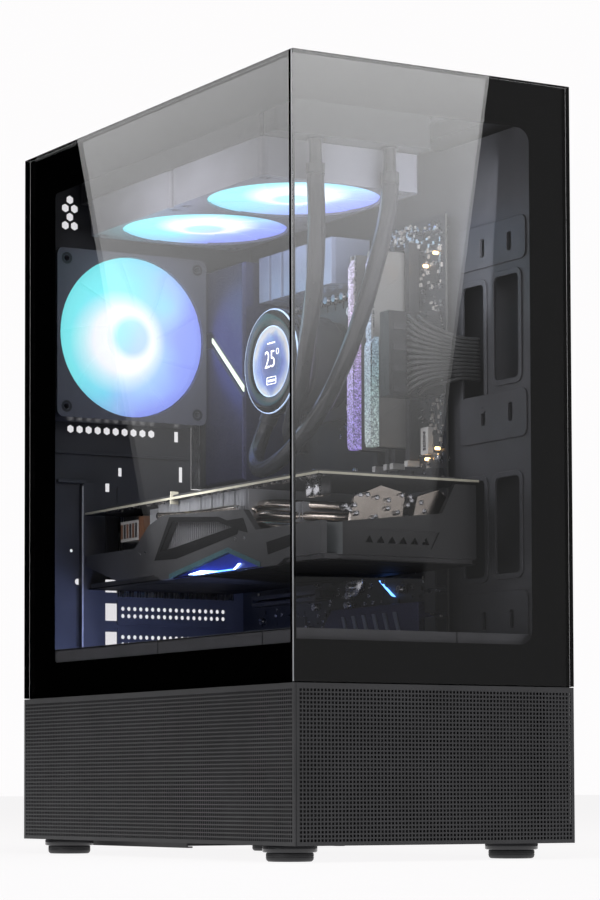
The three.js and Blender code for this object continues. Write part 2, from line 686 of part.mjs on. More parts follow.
add('motherboard', motherboard(), MATERIALS.board);
add('port_cover', portCover(), MATERIALS.alloy);
add('port_block', portBlock(), MATERIALS.bareSteel);
add('regulator_heatsink', regulatorHeatsink(), MATERIALS.alloy);
add('chipset_heatsink', chipsetHeatsink(), MATERIALS.alloy);
MEMORY_Y.forEach((y, i) => add(`memory_module_${i + 1}`, memoryModule(y), MATERIALS.memory));
add('board_power_cable', boardCable(), MATERIALS.sleeve);

add('card_board', cardBoard(), MATERIALS.board);
add('card_backplate', cardBackplate(), MATERIALS.alloy);
add('card_heatsink', cardHeatsink(), MATERIALS.alloy);
add('card_shroud', cardShroud(), MATERIALS.plastic);
add('card_bracket', cardBracket(), MATERIALS.bareSteel);
CARD_FAN_Y.forEach((y, i) => add(`card_fan_${i + 1}`, rotor(CARD_ROTOR), MATERIALS.plastic, [0, y, 194.5]));
Array.from({ length: SLOT_COUNT }, (_, number) => number)
  .filter((number) => !CARD_SLOTS.includes(number))
  .forEach((number, i) => add(`slot_cover_${i + 1}`, slotCover(number), MATERIALS.steel));
add('slot_screw_cover', slotScrewCover(), MATERIALS.steel);

add('psu_case', supplyCase(), MATERIALS.steel);
add('psu_fan', rotor(SUPPLY_ROTOR), MATERIALS.plastic, [-1, SUPPLY_FAN_Y, 24]);
add('psu_switch', switchRocker(), MATERIALS.gloss, [SWITCH.x, REAR_INNER - GAP, SWITCH.z]);
add('psu_inlet', powerInlet(), MATERIALS.plastic);

add('drive_cage', driveCage(), MATERIALS.steel);
add('hard_drive', hardDrive(), MATERIALS.bareSteel);

export default group;
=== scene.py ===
"""The looks of the desktop computer tower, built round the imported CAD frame.

Shapes are gathered in millimetres and become Blender meshes in metres. +Z is up, the front glass faces -Y and
the side glass faces -X.
"""

import math
import random

import bmesh
import bpy
from mathutils import Matrix, Vector
from mathutils.geometry import delaunay_2d_cdt


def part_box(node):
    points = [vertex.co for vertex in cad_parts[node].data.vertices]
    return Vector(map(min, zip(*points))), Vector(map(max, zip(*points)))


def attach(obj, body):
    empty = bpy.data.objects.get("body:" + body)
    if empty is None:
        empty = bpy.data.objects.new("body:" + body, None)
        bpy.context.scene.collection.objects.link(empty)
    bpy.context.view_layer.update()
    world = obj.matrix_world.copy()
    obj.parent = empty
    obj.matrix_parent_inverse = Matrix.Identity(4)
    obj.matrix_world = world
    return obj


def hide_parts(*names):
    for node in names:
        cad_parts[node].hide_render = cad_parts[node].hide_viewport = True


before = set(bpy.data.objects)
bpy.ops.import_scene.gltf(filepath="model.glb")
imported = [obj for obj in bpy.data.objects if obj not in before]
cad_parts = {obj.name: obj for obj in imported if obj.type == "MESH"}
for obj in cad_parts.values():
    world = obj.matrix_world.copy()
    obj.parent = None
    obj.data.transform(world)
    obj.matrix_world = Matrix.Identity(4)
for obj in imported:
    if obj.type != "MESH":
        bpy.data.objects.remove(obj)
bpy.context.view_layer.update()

MM = 0.001
CASE = "chassis"
LIFT = 0.05  # how far a thin layer stands off the face it lies on

CAMERA_PLACE = (-1.01375, -1.71277, 0.04213)
CAMERA_YAW = -0.51719
CAMERA_PITCH = 0.05437
CAMERA_ROLL = -0.0019
CAMERA_LENS = 119.29
CAMERA_SHIFT = (0.0778, 0.2)
SENSOR_WIDTH = 36
BACKDROP = (0.985, 0.975, 0.98, 1)
FLOOR_REACH = 30
SOFTBOX_LEVELS = [(0.0, 0.0), (0.12, 0.08), (0.3, 0.24), (0.5, 0.5), (0.72, 0.95), (1.0, 1.0)]
LAMP_BLUE = (0.4, 0.5, 1.0)


# ---------------- where the CAD parts are, in millimetres


def span(node):
    """The node's lowest and highest corner."""
    low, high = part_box(node)
    return [c / MM for c in low], [c / MM for c in high]


def sides(node):
    """The node's span along X, Y and Z."""
    return list(zip(*span(node)))


def middle(node):
    """The middle of the node's box."""
    return [(a + b) / 2 for a, b in sides(node)]


# ---------------- shapes


def at(axis, u, v, w):
    """A point from two coordinates across an axis, in X, Y, Z order, and one along it."""
    return {"x": (w, u, v), "y": (u, w, v), "z": (u, v, w)}[axis]


def ring(u, v, radius, sides, turn=0.0):
    """The corners of a regular polygon."""
    angles = [turn + i * 2 * math.pi / sides for i in range(sides)]
    return [(u + radius * math.cos(angle), v + radius * math.sin(angle)) for angle in angles]


def rectangle(u, v):
    """The corners of a rectangle from its span on two axes."""
    return [(u[0], v[0]), (u[1], v[0]), (u[1], v[1]), (u[0], v[1])]


def rounded(u, v, radius, steps=4):
    """A rectangle with round corners."""
    corners = [(u[1] - radius, v[1] - radius), (u[0] + radius, v[1] - radius),
               (u[0] + radius, v[0] + radius), (u[1] - radius, v[0] + radius)]
    points = []
    for quarter, (cu, cv) in enumerate(corners):
        for i in range(steps + 1):
            angle = (quarter + i / steps) * math.pi / 2
            points.append((cu + radius * math.cos(angle), cv + radius * math.sin(angle)))
    return points


def around(centre, half):
    """A span about a middle."""
    return (centre - half, centre + half)


def grown(pair, by):
    """A span made longer at both ends, or shorter where the number is negative."""
    return (pair[0] - by, pair[1] + by)


class Shape:
    """Faces gathered in millimetres, each with the number of its finish, for one Blender object."""

    def __init__(self):
        self.points = []
        self.faces = []
        self.finishes = []
        self.smooth = []

    def add(self, points, faces, finish=0, smooth=False):
        """Adds faces that name their corners by number in a list of points."""
        first = len(self.points)
        self.points.extend(points)
        self.faces.extend([first + i for i in face] for face in faces)
        self.finishes.extend([finish] * len(faces))
        self.smooth.extend([smooth] * len(faces))

    def prism(self, axis, outline, along, finish=0, scale=1.0, smooth=False):
        """An outline pushed along an axis. With a scale, the far end is that much larger about its middle."""
        count = len(outline)
        cu = sum(u for u, _ in outline) / count
        cv = sum(v for _, v in outline) / count
        far = [(cu + (u - cu) * scale, cv + (v - cv) * scale) for u, v in outline]
        points = [at(axis, u, v, along[0]) for u, v in outline] + [at(axis, u, v, along[1]) for u, v in far]
        walls = [(i, (i + 1) % count, count + (i + 1) % count, count + i) for i in range(count)]
        self.add(points, walls, finish, smooth)
        self.add(points, [tuple(range(count)), tuple(range(count, 2 * count))], finish)

    def box(self, x, y, z, finish=0):
        """A block from its three spans."""
        self.prism("z", rectangle(x, y), z, finish)

    def rod(self, axis, u, v, radius, along, finish=0, sides=20):
        """A round bar, or with few sides an angular one."""
        self.prism(axis, ring(u, v, radius, sides), along, finish, smooth=sides > 8)

    def sheet(self, axis, outline, holes, along, finish=0):
        """A flat sheet with holes through it, from one level on the axis to another."""
        loops = [outline, *holes]
        corners, numbers = [], []
        for loop in loops:
            numbers.append(list(range(len(corners), len(corners) + len(loop))))
            corners.extend(Vector(p) for p in loop)
        flat, _, triangles, _, _, parents = delaunay_2d_cdt(corners, [], numbers, 1, 1e-5, True)
        kept = [tri for tri, parent in zip(triangles, parents) if parent == [0]]
        for level in along:
            self.add([at(axis, p.x, p.y, level) for p in flat], kept, finish)
        for loop in loops:
            count = len(loop)
            points = [at(axis, u, v, level) for level in along for u, v in loop]
            walls = [(i, (i + 1) % count, count + (i + 1) % count, count + i) for i in range(count)]
            self.add(points, walls, finish)

    def lathe(self, axis, u, v, profile, finish=0, sides=32, smooth=True, closed=False):
        """A turned solid from (radius, height) pairs: capped at both ends, or a closed ring."""
        if closed:
            profile = [*profile, profile[0]]
        points, faces = [], []
        for radius, height in profile:
            points.extend(at(axis, a, b, height) for a, b in ring(u, v, max(radius, 0.01), sides))
        for row in range(len(profile) - 1):
            for i in range(sides):
                j = (i + 1) % sides
                faces.append((row * sides + i, row * sides + j, (row + 1) * sides + j, (row + 1) * sides + i))
        self.add(points, faces, finish, smooth)
        last = (len(profile) - 1) * sides
        if not closed:
            self.add(points, [tuple(range(sides)), tuple(range(last, last + sides))], finish)

    def sweep(self, path, radius, finish=0, sides=12):
        """A tube along points. radius is a number, or a function of the distance along and the angle."""
        points, faces = [], []
        line = [Vector(p) for p in path]
        side = (line[1] - line[0]).orthogonal().normalized()
        distance = 0.0
        for i, here in enumerate(line):
            ahead = (line[min(i + 1, len(line) - 1)] - line[max(i - 1, 0)]).normalized()
            side = (side - ahead * side.dot(ahead)).normalized()
            other = ahead.cross(side)
            distance += (here - line[max(i - 1, 0)]).length
            for k in range(sides):
                angle = 2 * math.pi * k / sides
                reach = radius(distance, angle) if callable(radius) else radius
                point = here + side * (reach * math.cos(angle)) + other * (reach * math.sin(angle))
                points.append(tuple(point))
        for i in range(len(line) - 1):
            for k in range(sides):
                j = (k + 1) % sides
                faces.append((i * sides + k, i * sides + j, (i + 1) * sides + j, (i + 1) * sides + k))
        self.add(points, faces, finish, smooth=True)
        last = (len(line) - 1) * sides
        self.add(points, [tuple(range(sides)), tuple(range(last, last + sides))], finish)

    def surface(self, rows, finish=0, smooth=True):
        """A strip of quads through rows of points, all with the same count."""
        count = len(rows[0])
        points = [p for row in rows for p in row]
        faces = [(r * count + i, r * count + i + 1, (r + 1) * count + i + 1, (r + 1) * count + i)
                 for r in range(len(rows) - 1) for i in range(count - 1)]
        self.add(points, faces, finish, smooth)

    def turned(self, transform, start):
        """Moves every point from number start on by a function of the point."""
        self.points[start:] = [transform(p) for p in self.points[start:]]


def smooth_line(points, step):
    """Points about a step apart on a smooth curve through the given ones."""
    line = [Vector(p) for p in points]
    line = [2 * line[0] - line[1], *line, 2 * line[-1] - line[-2]]
    made = []
    for a, b, c, d in zip(line, line[1:], line[2:], line[3:]):
        count = max(2, round((c - b).length / step))
        for i in range(count):
            t = i / count
            made.append(0.5 * (2 * b + (c - a) * t + (2 * a - 5 * b + 4 * c - d) * t * t
                               + (3 * b - a - 3 * c + d) * t ** 3))
    return [*made, line[-2]]


def piece(name, shape, body, finishes, replaces=(), bevel=0.0):
    """Makes a named object of a shape, riding on a CAD body, and in place of the nodes it replaces."""
    mesh = bpy.data.meshes.new(name)
    mesh.from_pydata([[c * MM for c in p] for p in shape.points], [], shape.faces)
    for finish in finishes:
        mesh.materials.append(finish)
    mesh.polygons.foreach_set("material_index", shape.finishes)
    mesh.polygons.foreach_set("use_smooth", shape.smooth)
    work = bmesh.new()
    work.from_mesh(mesh)
    bmesh.ops.remove_doubles(work, verts=work.verts, dist=1e-7)
    bmesh.ops.recalc_face_normals(work, faces=work.faces)
    work.to_mesh(mesh)
    work.free()
    obj = bpy.data.objects.new(name, mesh)
    bpy.context.scene.collection.objects.link(obj)
    if bevel:
        soften(obj, bevel)
    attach(obj, body)
    if replaces:
        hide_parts(*replaces)
    return obj


def soften(obj, width):
    """Rounds an object's sharp edges by a width in millimetres."""
    modifier = obj.modifiers.new("edges", "BEVEL")
    modifier.width = width * MM
    modifier.segments = 2
    modifier.limit_method = "ANGLE"
    modifier.angle_limit = math.radians(35)


def repaint(finish, *nodes, bevel=0.0):
    """Gives CAD nodes that keep their shape a finish, and rounds their edges."""
    for name in nodes:
        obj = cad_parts[name]
        obj.material_slots[0].material = finish
        if bevel:
            soften(obj, bevel)


# ---------------- materials


class Recipe:
    """A material's node tree, with short ways to add what most finishes need."""

    def __init__(self, name, **values):
        self.material = bpy.data.materials.new(name)
        self.material.use_nodes = True
        self.tree = self.material.node_tree
        self.shader = self.tree.nodes["Principled BSDF"]
        for socket, value in values.items():
            self.shader.inputs[socket.replace("_", " ")].default_value = value
        self.place = self.tree.nodes.new("ShaderNodeTexCoord").outputs["Object"]

    def node(self, kind, output=0, inputs=None, **settings):
        """Adds a node, links or sets its inputs, and returns one of its outputs."""
        made = self.tree.nodes.new("ShaderNode" + kind)
        for key, value in settings.items():
            setattr(made, key, value)
        for key, value in (inputs or {}).items():
            if isinstance(value, bpy.types.NodeSocket):
                self.tree.links.new(value, made.inputs[key])
            else:
                made.inputs[key].default_value = value
        return made.outputs[output]

    def feed(self, socket, value):
        """Links a value to one of the main shader's sockets."""
        self.tree.links.new(value, self.shader.inputs[socket])

    def stretched(self, scale):
        """The place on the object, scaled along each axis."""
        return self.node("Mapping", inputs={"Vector": self.place, "Scale": scale})

    def noise(self, size, detail=3.0, vector=None):
        """Noise from 0 to 1 with features of about a size in millimetres."""
        inputs = {"Vector": vector or self.place, "Scale": 1 / (size * MM), "Detail": detail}
        return self.node("TexNoise", inputs=inputs)

    def ramp(self, factor, stops):
        """A colour that follows a factor through stops of position and colour."""
        made = self.tree.nodes.new("ShaderNodeValToRGB")
        self.tree.links.new(factor, made.inputs[0])
        elements = made.color_ramp.elements
        while len(elements) < len(stops):
            elements.new(0.5)
        for element, (position, colour) in zip(elements, stops):
            element.position = position
            element.color = (*colour, 1)
        return made.outputs["Color"]

    def remap(self, value, low, high, from_low=0.3, from_high=0.7):
        """A value moved from one range to another."""
        inputs = {"Value": value, "From Min": from_low, "From Max": from_high, "To Min": low, "To Max": high}
        return self.node("MapRange", inputs=inputs)

    def maths(self, operation, first, second=0.0):
        return self.node("Math", operation=operation, inputs={0: first, 1: second})

    def vector(self, operation, first, second, output=0):
        return self.node("VectorMath", output, operation=operation, inputs={0: first, 1: second})

    def bump(self, height, depth, strength=1.0):
        """Raises the surface by height times a depth in millimetres."""
        inputs = {"Height": height, "Distance": depth * MM, "Strength": strength}
        self.feed("Normal", self.node("Bump", inputs=inputs))


def coat(name, dark, light, roughness, grain, depth, blotch=30.0, stretch=None, **values):
    """A finish whose colour drifts between two, with a grain of a size in mm in its gloss and relief."""
    recipe = Recipe(name, **values)
    vector = recipe.stretched(stretch) if stretch else recipe.place
    drift = recipe.noise(blotch)
    fine = recipe.noise(grain, 2.0, vector)
    recipe.feed("Base Color", recipe.ramp(drift, [(0.3, dark), (0.7, light)]))
    recipe.feed("Roughness", recipe.remap(fine, roughness - 0.07, roughness + 0.07))
    recipe.bump(fine, depth)
    return recipe.material


def grey(value, blue=1.1):
    """A dark neutral colour with a little blue in it."""
    return (value, value, value * blue)


def glass_finish():
    """Tinted glass that passes light straight through and mirrors more towards the edge of sight."""
    recipe = Recipe("tinted_glass_surface")
    facing = recipe.node("LayerWeight", output="Facing", inputs={"Blend": 0.5})
    steep = recipe.maths("POWER", facing, 5.0)
    mirror = recipe.node("Math", operation="MULTIPLY_ADD", inputs={0: steep, 1: 0.96, 2: 0.042})
    smear = recipe.remap(recipe.noise(60.0), 0.0, 0.003)
    clear = recipe.node("BsdfTransparent", inputs={"Color": (0.95, 0.95, 0.96, 1)})
    gloss = recipe.node("BsdfGlossy", inputs={"Color": (1, 1, 1, 1), "Roughness": smear})
    mixed = recipe.node("MixShader", inputs={0: mirror, 1: clear, 2: gloss})
    recipe.tree.links.new(mixed, recipe.tree.nodes["Material Output"].inputs["Surface"])
    return recipe.material


def fan_light(name, centre, towards, crescent_towards, radius, strength):
    """Frosted blades lit from the hub: a white ring, wider on one side, then cyan turning to violet blue."""
    recipe = Recipe(name, Roughness=0.45, Alpha=0.88)
    offset = recipe.vector("SUBTRACT", recipe.place, [c * MM for c in centre])
    reach = recipe.node("VectorMath", "Value", operation="LENGTH", inputs={0: offset})
    share = recipe.maths("DIVIDE", reach, radius * MM)
    lean = recipe.vector("DOT_PRODUCT", offset, [t / (radius * MM) for t in towards], output="Value")
    haze = recipe.remap(recipe.noise(40.0, 1.0), -0.14, 0.14)
    leaning = [c / (radius * MM) for c in crescent_towards]
    crescent = recipe.vector("DOT_PRODUCT", offset, leaning, output="Value")
    side = recipe.maths("ADD", recipe.maths("MULTIPLY", lean, 0.6), haze)
    tone = recipe.ramp(recipe.maths("ADD", side, 0.5), [
        (0.08, (0.26, 0.33, 1.0)), (0.36, (0.36, 0.6, 1.0)), (0.6, (0.24, 0.8, 1.0)),
        (0.9, (0.24, 1.0, 1.0))])
    heat = recipe.maths("ADD", share, recipe.maths("MULTIPLY", crescent, -0.3))
    outside = recipe.ramp(heat, [(0.4, (1.0,) * 3), (0.5, (0.5,) * 3), (0.64, (0.0,) * 3)])
    ring_share = recipe.maths("MULTIPLY", recipe.remap(share, 0.12, 1.0, 0.25, 0.34), outside)
    colour = recipe.node("Mix", 2, {"Factor": ring_share, 6: tone, 7: (1.0, 1.0, 1.0, 1.0)}, data_type="RGBA")
    recipe.feed("Base Color", recipe.ramp(haze, [(0.0, (0.1, 0.14, 0.2)), (1.0, (0.16, 0.2, 0.28))]))
    recipe.feed("Emission Color", colour)
    recipe.feed("Emission Strength", recipe.remap(share, strength, strength * 0.78, 0.4, 1.0))
    recipe.bump(recipe.noise(1.5), 0.05)
    return recipe.material


def screen_finish(centre, radius):
    """A lit round screen: deep blue in the middle, brighter towards a white rim."""
    recipe = Recipe("pump_screen", Roughness=0.08, Emission_Strength=0.65)
    offset = recipe.vector("SUBTRACT", recipe.place, [c * MM for c in centre])
    flat = recipe.vector("MULTIPLY", offset, (0.0, 1.0, 1.0))
    reach = recipe.node("VectorMath", "Value", operation="LENGTH", inputs={0: flat})
    share = recipe.maths("DIVIDE", reach, radius * MM)
    slope = 0.7 / (radius * MM)
    lean = recipe.vector("DOT_PRODUCT", flat, (0.0, -slope, slope), output="Value")
    swirl = recipe.maths("ADD", share, recipe.remap(recipe.noise(14.0), -0.12, 0.12))
    colour = recipe.ramp(recipe.maths("ADD", swirl, recipe.maths("MULTIPLY", lean, 0.1)), [
        (0.0, (0.04, 0.06, 0.2)), (0.45, (0.1, 0.16, 0.5)), (0.72, (0.3, 0.42, 0.95)),
        (0.88, (0.62, 0.75, 1.0)), (0.97, (1.0, 1.0, 0.96))])
    recipe.feed("Base Color", recipe.ramp(share, [(0.0, (0.01, 0.01, 0.03)), (1.0, (0.05, 0.05, 0.08))]))
    recipe.feed("Emission Color", colour)
    return recipe.material


def glitter_light(name, low_z, high_z, stops, strength):
    """A light bar full of crystals: its colour changes with height, its brightness with each crystal."""
    recipe = Recipe(name, Roughness=0.25)
    height = recipe.node("SeparateXYZ", output="Z", inputs={0: recipe.place})
    share = recipe.remap(height, 0.0, 1.0, low_z * MM, high_z * MM)
    crystals = recipe.node("TexVoronoi", output="Color", inputs={"Vector": recipe.place, "Scale": 1300.0})
    sparkle = recipe.node("SeparateColor", inputs={0: crystals})
    recipe.feed("Emission Color", recipe.ramp(share, stops))
    recipe.feed("Base Color", recipe.ramp(sparkle, [(0.0, (0.12, 0.12, 0.15)), (1.0, (0.4, 0.4, 0.44))]))
    bright = recipe.maths("POWER", sparkle, 1.6)
    recipe.feed("Emission Strength", recipe.remap(bright, strength * 0.25, strength * 1.6, 0.0, 1.0))
    recipe.bump(sparkle, 0.3)
    return recipe.material


def glow(name, colour, strength):
    """A lit strip or lens whose brightness drifts a little along it."""
    recipe = Recipe(name, Roughness=0.3, Emission_Color=(*colour, 1))
    drift = recipe.noise(8.0)
    recipe.feed("Base Color", recipe.ramp(drift, [(0.0, colour), (1.0, tuple(0.7 * c for c in colour))]))
    recipe.feed("Emission Strength", recipe.remap(drift, strength * 0.8, strength * 1.15))
    return recipe.material


def board_finish(name, base, trace):
    """Solder mask over fine copper runs."""
    recipe = Recipe(name, Specular_IOR_Level=0.45)
    runs = recipe.node("TexBrick", output="Fac", inputs={
        "Vector": recipe.node("Mapping", inputs={"Vector": recipe.place, "Rotation": (0, math.pi / 2, 0)}),
        "Scale": 170.0, "Mortar Size": 0.018, "Mortar Smooth": 0.2, "Row Height": 0.35})
    patches = recipe.noise(22.0, 1.0)
    where = recipe.maths("MULTIPLY", runs, recipe.remap(patches, 0.0, 1.0, 0.45, 0.6))
    recipe.feed("Base Color", recipe.ramp(where, [(0.0, base), (1.0, trace)]))
    recipe.feed("Roughness", recipe.remap(recipe.noise(1.2), 0.4, 0.55))
    recipe.bump(where, 0.05)
    return recipe.material


def brushed(name, dark, light, roughness, along, **values):
    """Metal with fine scratches that run along one axis."""
    stretch = [0.03 if axis == along else 1.0 for axis in "xyz"]
    return coat(name, dark, light, roughness, 0.6, 0.03, 40.0, stretch, **{"Metallic": 1.0, **values})


STEEL = coat("powder_coated_steel", grey(0.020), grey(0.030), 0.46, 0.5, 0.05)
INNER_STEEL = coat("inner_steel", grey(0.042), grey(0.058), 0.42, 0.5, 0.015)
MESH_STEEL = coat("mesh_steel", grey(0.024), grey(0.033), 0.38, 0.4, 0.03)
PLASTIC = coat("moulded_plastic", grey(0.016), grey(0.024), 0.42, 0.35, 0.04)
# dark moulded plastic painted a lighter and bluer grey than the other plastics: that extra tone is painted
# glow from the lit blades falling on the frame
FRAME_PLASTIC_AND_GLOW = coat("fan_frame_plastic_and_painted_glow", grey(0.085, 1.2), grey(0.11, 1.2), 0.36, 0.35, 0.01)
GLOSS = coat("gloss_black", grey(0.006), grey(0.009), 0.09, 3.0, 0.004)
PRINT = coat("glass_print", (0.0006,) * 3, (0.0009,) * 3, 0.5, 1.0, 0.002, Specular_IOR_Level=0.0)
RUBBER = coat("foot_rubber_finish", grey(0.018), grey(0.03), 0.55, 0.6, 0.06)
FOOT_GLOSS = coat("foot_ring", grey(0.02), grey(0.03), 0.18, 2.0, 0.01)
CARD_PLASTIC = coat("card_plastic_finish", grey(0.040, 1.05), grey(0.054, 1.05), 0.38, 0.4, 0.01)
# near-black: the card's own black plastic parts, and also painted shade for the two recesses on the shroud's
# skirt
CARD_BLACK_AND_SHADE = coat("card_black_and_painted_shade", grey(0.004), grey(0.007), 0.6, 0.4, 0.01, Specular_IOR_Level=0.15)
CARD_TEAL = coat("card_teal_edge", (0.05, 0.11, 0.13), (0.08, 0.17, 0.19), 0.3, 0.4, 0.02, Metallic=0.4)
ALUMINIUM = brushed("fin_aluminium_finish", (0.5, 0.51, 0.54), (0.66, 0.67, 0.7), 0.42, "x", Metallic=0.35)
WARM_METAL = brushed("heat_pipe_nickel", (0.55, 0.48, 0.42), (0.75, 0.68, 0.6), 0.2, "y")
NICKEL = brushed("connector_nickel", (0.55, 0.55, 0.56), (0.7, 0.7, 0.71), 0.26, "z")
ARMOUR = coat("armour_metal", (0.055, 0.055, 0.12), (0.085, 0.085, 0.18), 0.3, 0.5, 0.02, 50.0, Metallic=0.75)
HEATSINK_BLUE = coat("regulator_metal", (0.2, 0.225, 0.31), (0.27, 0.3, 0.4), 0.32, 0.5, 0.02, Metallic=0.25)
RADIATOR = coat("radiator_paint_finish", grey(0.016), grey(0.024), 0.4, 0.8, 0.04)
BOARD = board_finish("circuit_board_finish", (0.016, 0.017, 0.02), (0.045, 0.046, 0.05))
BOARD_SIDE = coat("cut_board_edge", (0.04, 0.04, 0.038), (0.065, 0.065, 0.06), 0.4, 0.6, 0.02)
GOLD_EDGE = coat("board_edge", (0.42, 0.4, 0.31), (0.6, 0.57, 0.45), 0.35, 0.6, 0.02)
CHIP = coat("chip_resin", grey(0.010), grey(0.016), 0.4, 0.8, 0.004)
CERAMIC = coat("ceramic_part", (0.17, 0.155, 0.14), (0.3, 0.28, 0.26), 0.4, 1.0, 0.02)
TINNED = coat("tinned_metal", (0.55, 0.55, 0.57), (0.75, 0.75, 0.77), 0.25, 1.0, 0.02, Metallic=1.0)
CONNECTOR = coat("connector_plastic", (0.02, 0.02, 0.022), (0.03, 0.03, 0.032), 0.4, 0.5, 0.03)
PALE_PLASTIC = coat("pale_connector", (0.34, 0.33, 0.32), (0.46, 0.45, 0.43), 0.45, 0.6, 0.03)
BROWN_PLASTIC = coat("brown_connector", (0.13, 0.06, 0.035), (0.18, 0.09, 0.05), 0.45, 0.6, 0.03)
SILVER = coat("silver_fin_edge", (0.17, 0.17, 0.18), (0.24, 0.24, 0.25), 0.35, 0.5, 0.02, Metallic=0.2)
SLEEVE = coat("braided_sleeve", grey(0.012), grey(0.02), 0.25, 0.3, 0.004)
CUFF = coat("rubber_cuff", grey(0.016), grey(0.022), 0.35, 0.5, 0.03)
WIRE = coat("wire_sleeve", grey(0.018, 1.0), grey(0.034, 1.0), 0.36, 0.3, 0.01)
SUPPLY = coat("supply_paint_finish", grey(0.022), grey(0.032), 0.5, 0.7, 0.08)
FILTER = coat("filter_net", grey(0.014), grey(0.02), 0.6, 0.4, 0.03)
DRIVE = brushed("drive_alloy_finish", (0.42, 0.43, 0.45), (0.58, 0.59, 0.61), 0.34, "y")
BLUE_LIGHT = glow("card_blue_light", (0.1, 0.3, 1.0), 5.0)
# painted glow: a dim blue that stands in for the card lamp's light on the notch plate behind it
NOTCH_PAINTED_GLOW = glow("card_notch_painted_glow", (0.02, 0.04, 0.4), 0.12)
PALE_LIGHT = glow("card_pale_light", (0.55, 0.8, 1.0), 8.0)
WARM_LIGHT = glow("warm_lamp", (1.0, 0.6, 0.25), 6.0)
STRIP_LIGHT = glow("cover_strip_light", (0.85, 1.0, 0.72), 1.1)
DIGIT_LIGHT = glow("screen_digits", (1.0, 1.0, 1.0), 1.6)
POLISHED = coat("polished_glass_edge", (0.3, 0.31, 0.33), (0.42, 0.43, 0.45), 0.15, 2.0, 0.01)
GLASS = glass_finish()


# ---------------- camera, lights and stage


def make_camera():
    """The camera, with the place, turn and framing named above."""
    camera = bpy.data.objects.new("camera", bpy.data.cameras.new("camera"))
    bpy.context.scene.collection.objects.link(camera)
    camera.matrix_world = (
        Matrix.Translation(CAMERA_PLACE)
        @ Matrix.Rotation(CAMERA_YAW, 4, "Z")
        @ Matrix.Rotation(math.pi / 2 + CAMERA_PITCH, 4, "X")
        @ Matrix.Rotation(CAMERA_ROLL, 4, "Z")
    )
    camera.data.lens = CAMERA_LENS
    camera.data.sensor_width = SENSOR_WIDTH
    camera.data.shift_x, camera.data.shift_y = CAMERA_SHIFT
    bpy.context.scene.camera = camera


def softbox(name, strength, corners):
    """A glowing panel, brighter with height, from its corners in metres, the bottom two first."""
    mesh = bpy.data.meshes.new(name)
    mesh.from_pydata(corners, [], [(0, 1, 2, 3)])
    layer = mesh.uv_layers.new(name="height")
    for i, v in enumerate((0, 0, 1, 1)):
        layer.data[i].uv = (0.5, v)
    recipe = Recipe(name + "_light")
    height = recipe.node("SeparateXYZ", output="Y", inputs={0: recipe.node("UVMap", uv_map="height")})
    colour = recipe.ramp(height, [(share, (level,) * 3) for share, level in SOFTBOX_LEVELS])
    light = recipe.node("Emission", inputs={"Color": colour, "Strength": strength})
    recipe.tree.links.new(light, recipe.tree.nodes["Material Output"].inputs["Surface"])
    mesh.materials.append(recipe.material)
    obj = bpy.data.objects.new(name, mesh)
    bpy.context.scene.collection.objects.link(obj)
    obj.visible_camera = False
    obj.visible_shadow = False


def area_light(name, place, target, size, power, colour=(1, 1, 1), glossy=True):
    """A square light in metres and watts, aimed at a target and hidden from the camera."""
    light = bpy.data.lights.new(name, "AREA")
    light.size = size
    light.energy = power
    light.color = colour
    obj = bpy.data.objects.new(name, light)
    bpy.context.scene.collection.objects.link(obj)
    obj.location = place
    obj.rotation_euler = (Vector(target) - Vector(place)).to_track_quat("-Z", "Y").to_euler()
    obj.visible_glossy = glossy
    obj.visible_camera = False


def make_floor():
    """A wide pale floor that glows a little, so that it meets the backdrop without a line."""
    recipe = Recipe("pale_floor", Roughness=0.7, Emission_Color=(1.0, 0.99, 0.995, 1), Emission_Strength=0.9)
    recipe.feed("Base Color", recipe.ramp(recipe.noise(400.0), [(0.3, (0.09,) * 3), (0.7, (0.1,) * 3)]))
    mesh = bpy.data.meshes.new("floor")
    reach = around(0, FLOOR_REACH)
    mesh.from_pydata([(*corner, 0) for corner in rectangle(reach, reach)], [], [(0, 1, 2, 3)])
    mesh.materials.append(recipe.material)
    floor = bpy.data.objects.new("floor", mesh)
    bpy.context.scene.collection.objects.link(floor)


def make_world():
    """White behind the object, and a dim room in reflections that is brighter in front of it than behind."""
    world = bpy.data.worlds.new("studio")
    bpy.context.scene.world = world
    world.use_nodes = True
    tree = world.node_tree
    tree.nodes.clear()
    direction = tree.nodes.new("ShaderNodeTexCoord").outputs["Generated"]
    split = tree.nodes.new("ShaderNodeSeparateXYZ")
    tree.links.new(direction, split.inputs[0])
    amount = tree.nodes.new("ShaderNodeMapRange")
    tree.links.new(split.outputs["Y"], amount.inputs["Value"])
    for socket, value in {"From Min": -0.6, "From Max": 0.35, "To Min": 0.23, "To Max": 0.0}.items():
        amount.inputs[socket].default_value = value
    room = tree.nodes.new("ShaderNodeBackground")
    tree.links.new(amount.outputs[0], room.inputs["Strength"])
    backdrop = tree.nodes.new("ShaderNodeBackground")
    backdrop.inputs["Color"].default_value = BACKDROP
    path = tree.nodes.new("ShaderNodeLightPath")
    mix = tree.nodes.new("ShaderNodeMixShader")
    tree.links.new(path.outputs["Is Camera Ray"], mix.inputs[0])
    tree.links.new(room.outputs[0], mix.inputs[1])
    tree.links.new(backdrop.outputs[0], mix.inputs[2])
    output = tree.nodes.new("ShaderNodeOutputWorld")
    tree.links.new(mix.outputs[0], output.inputs["Surface"])


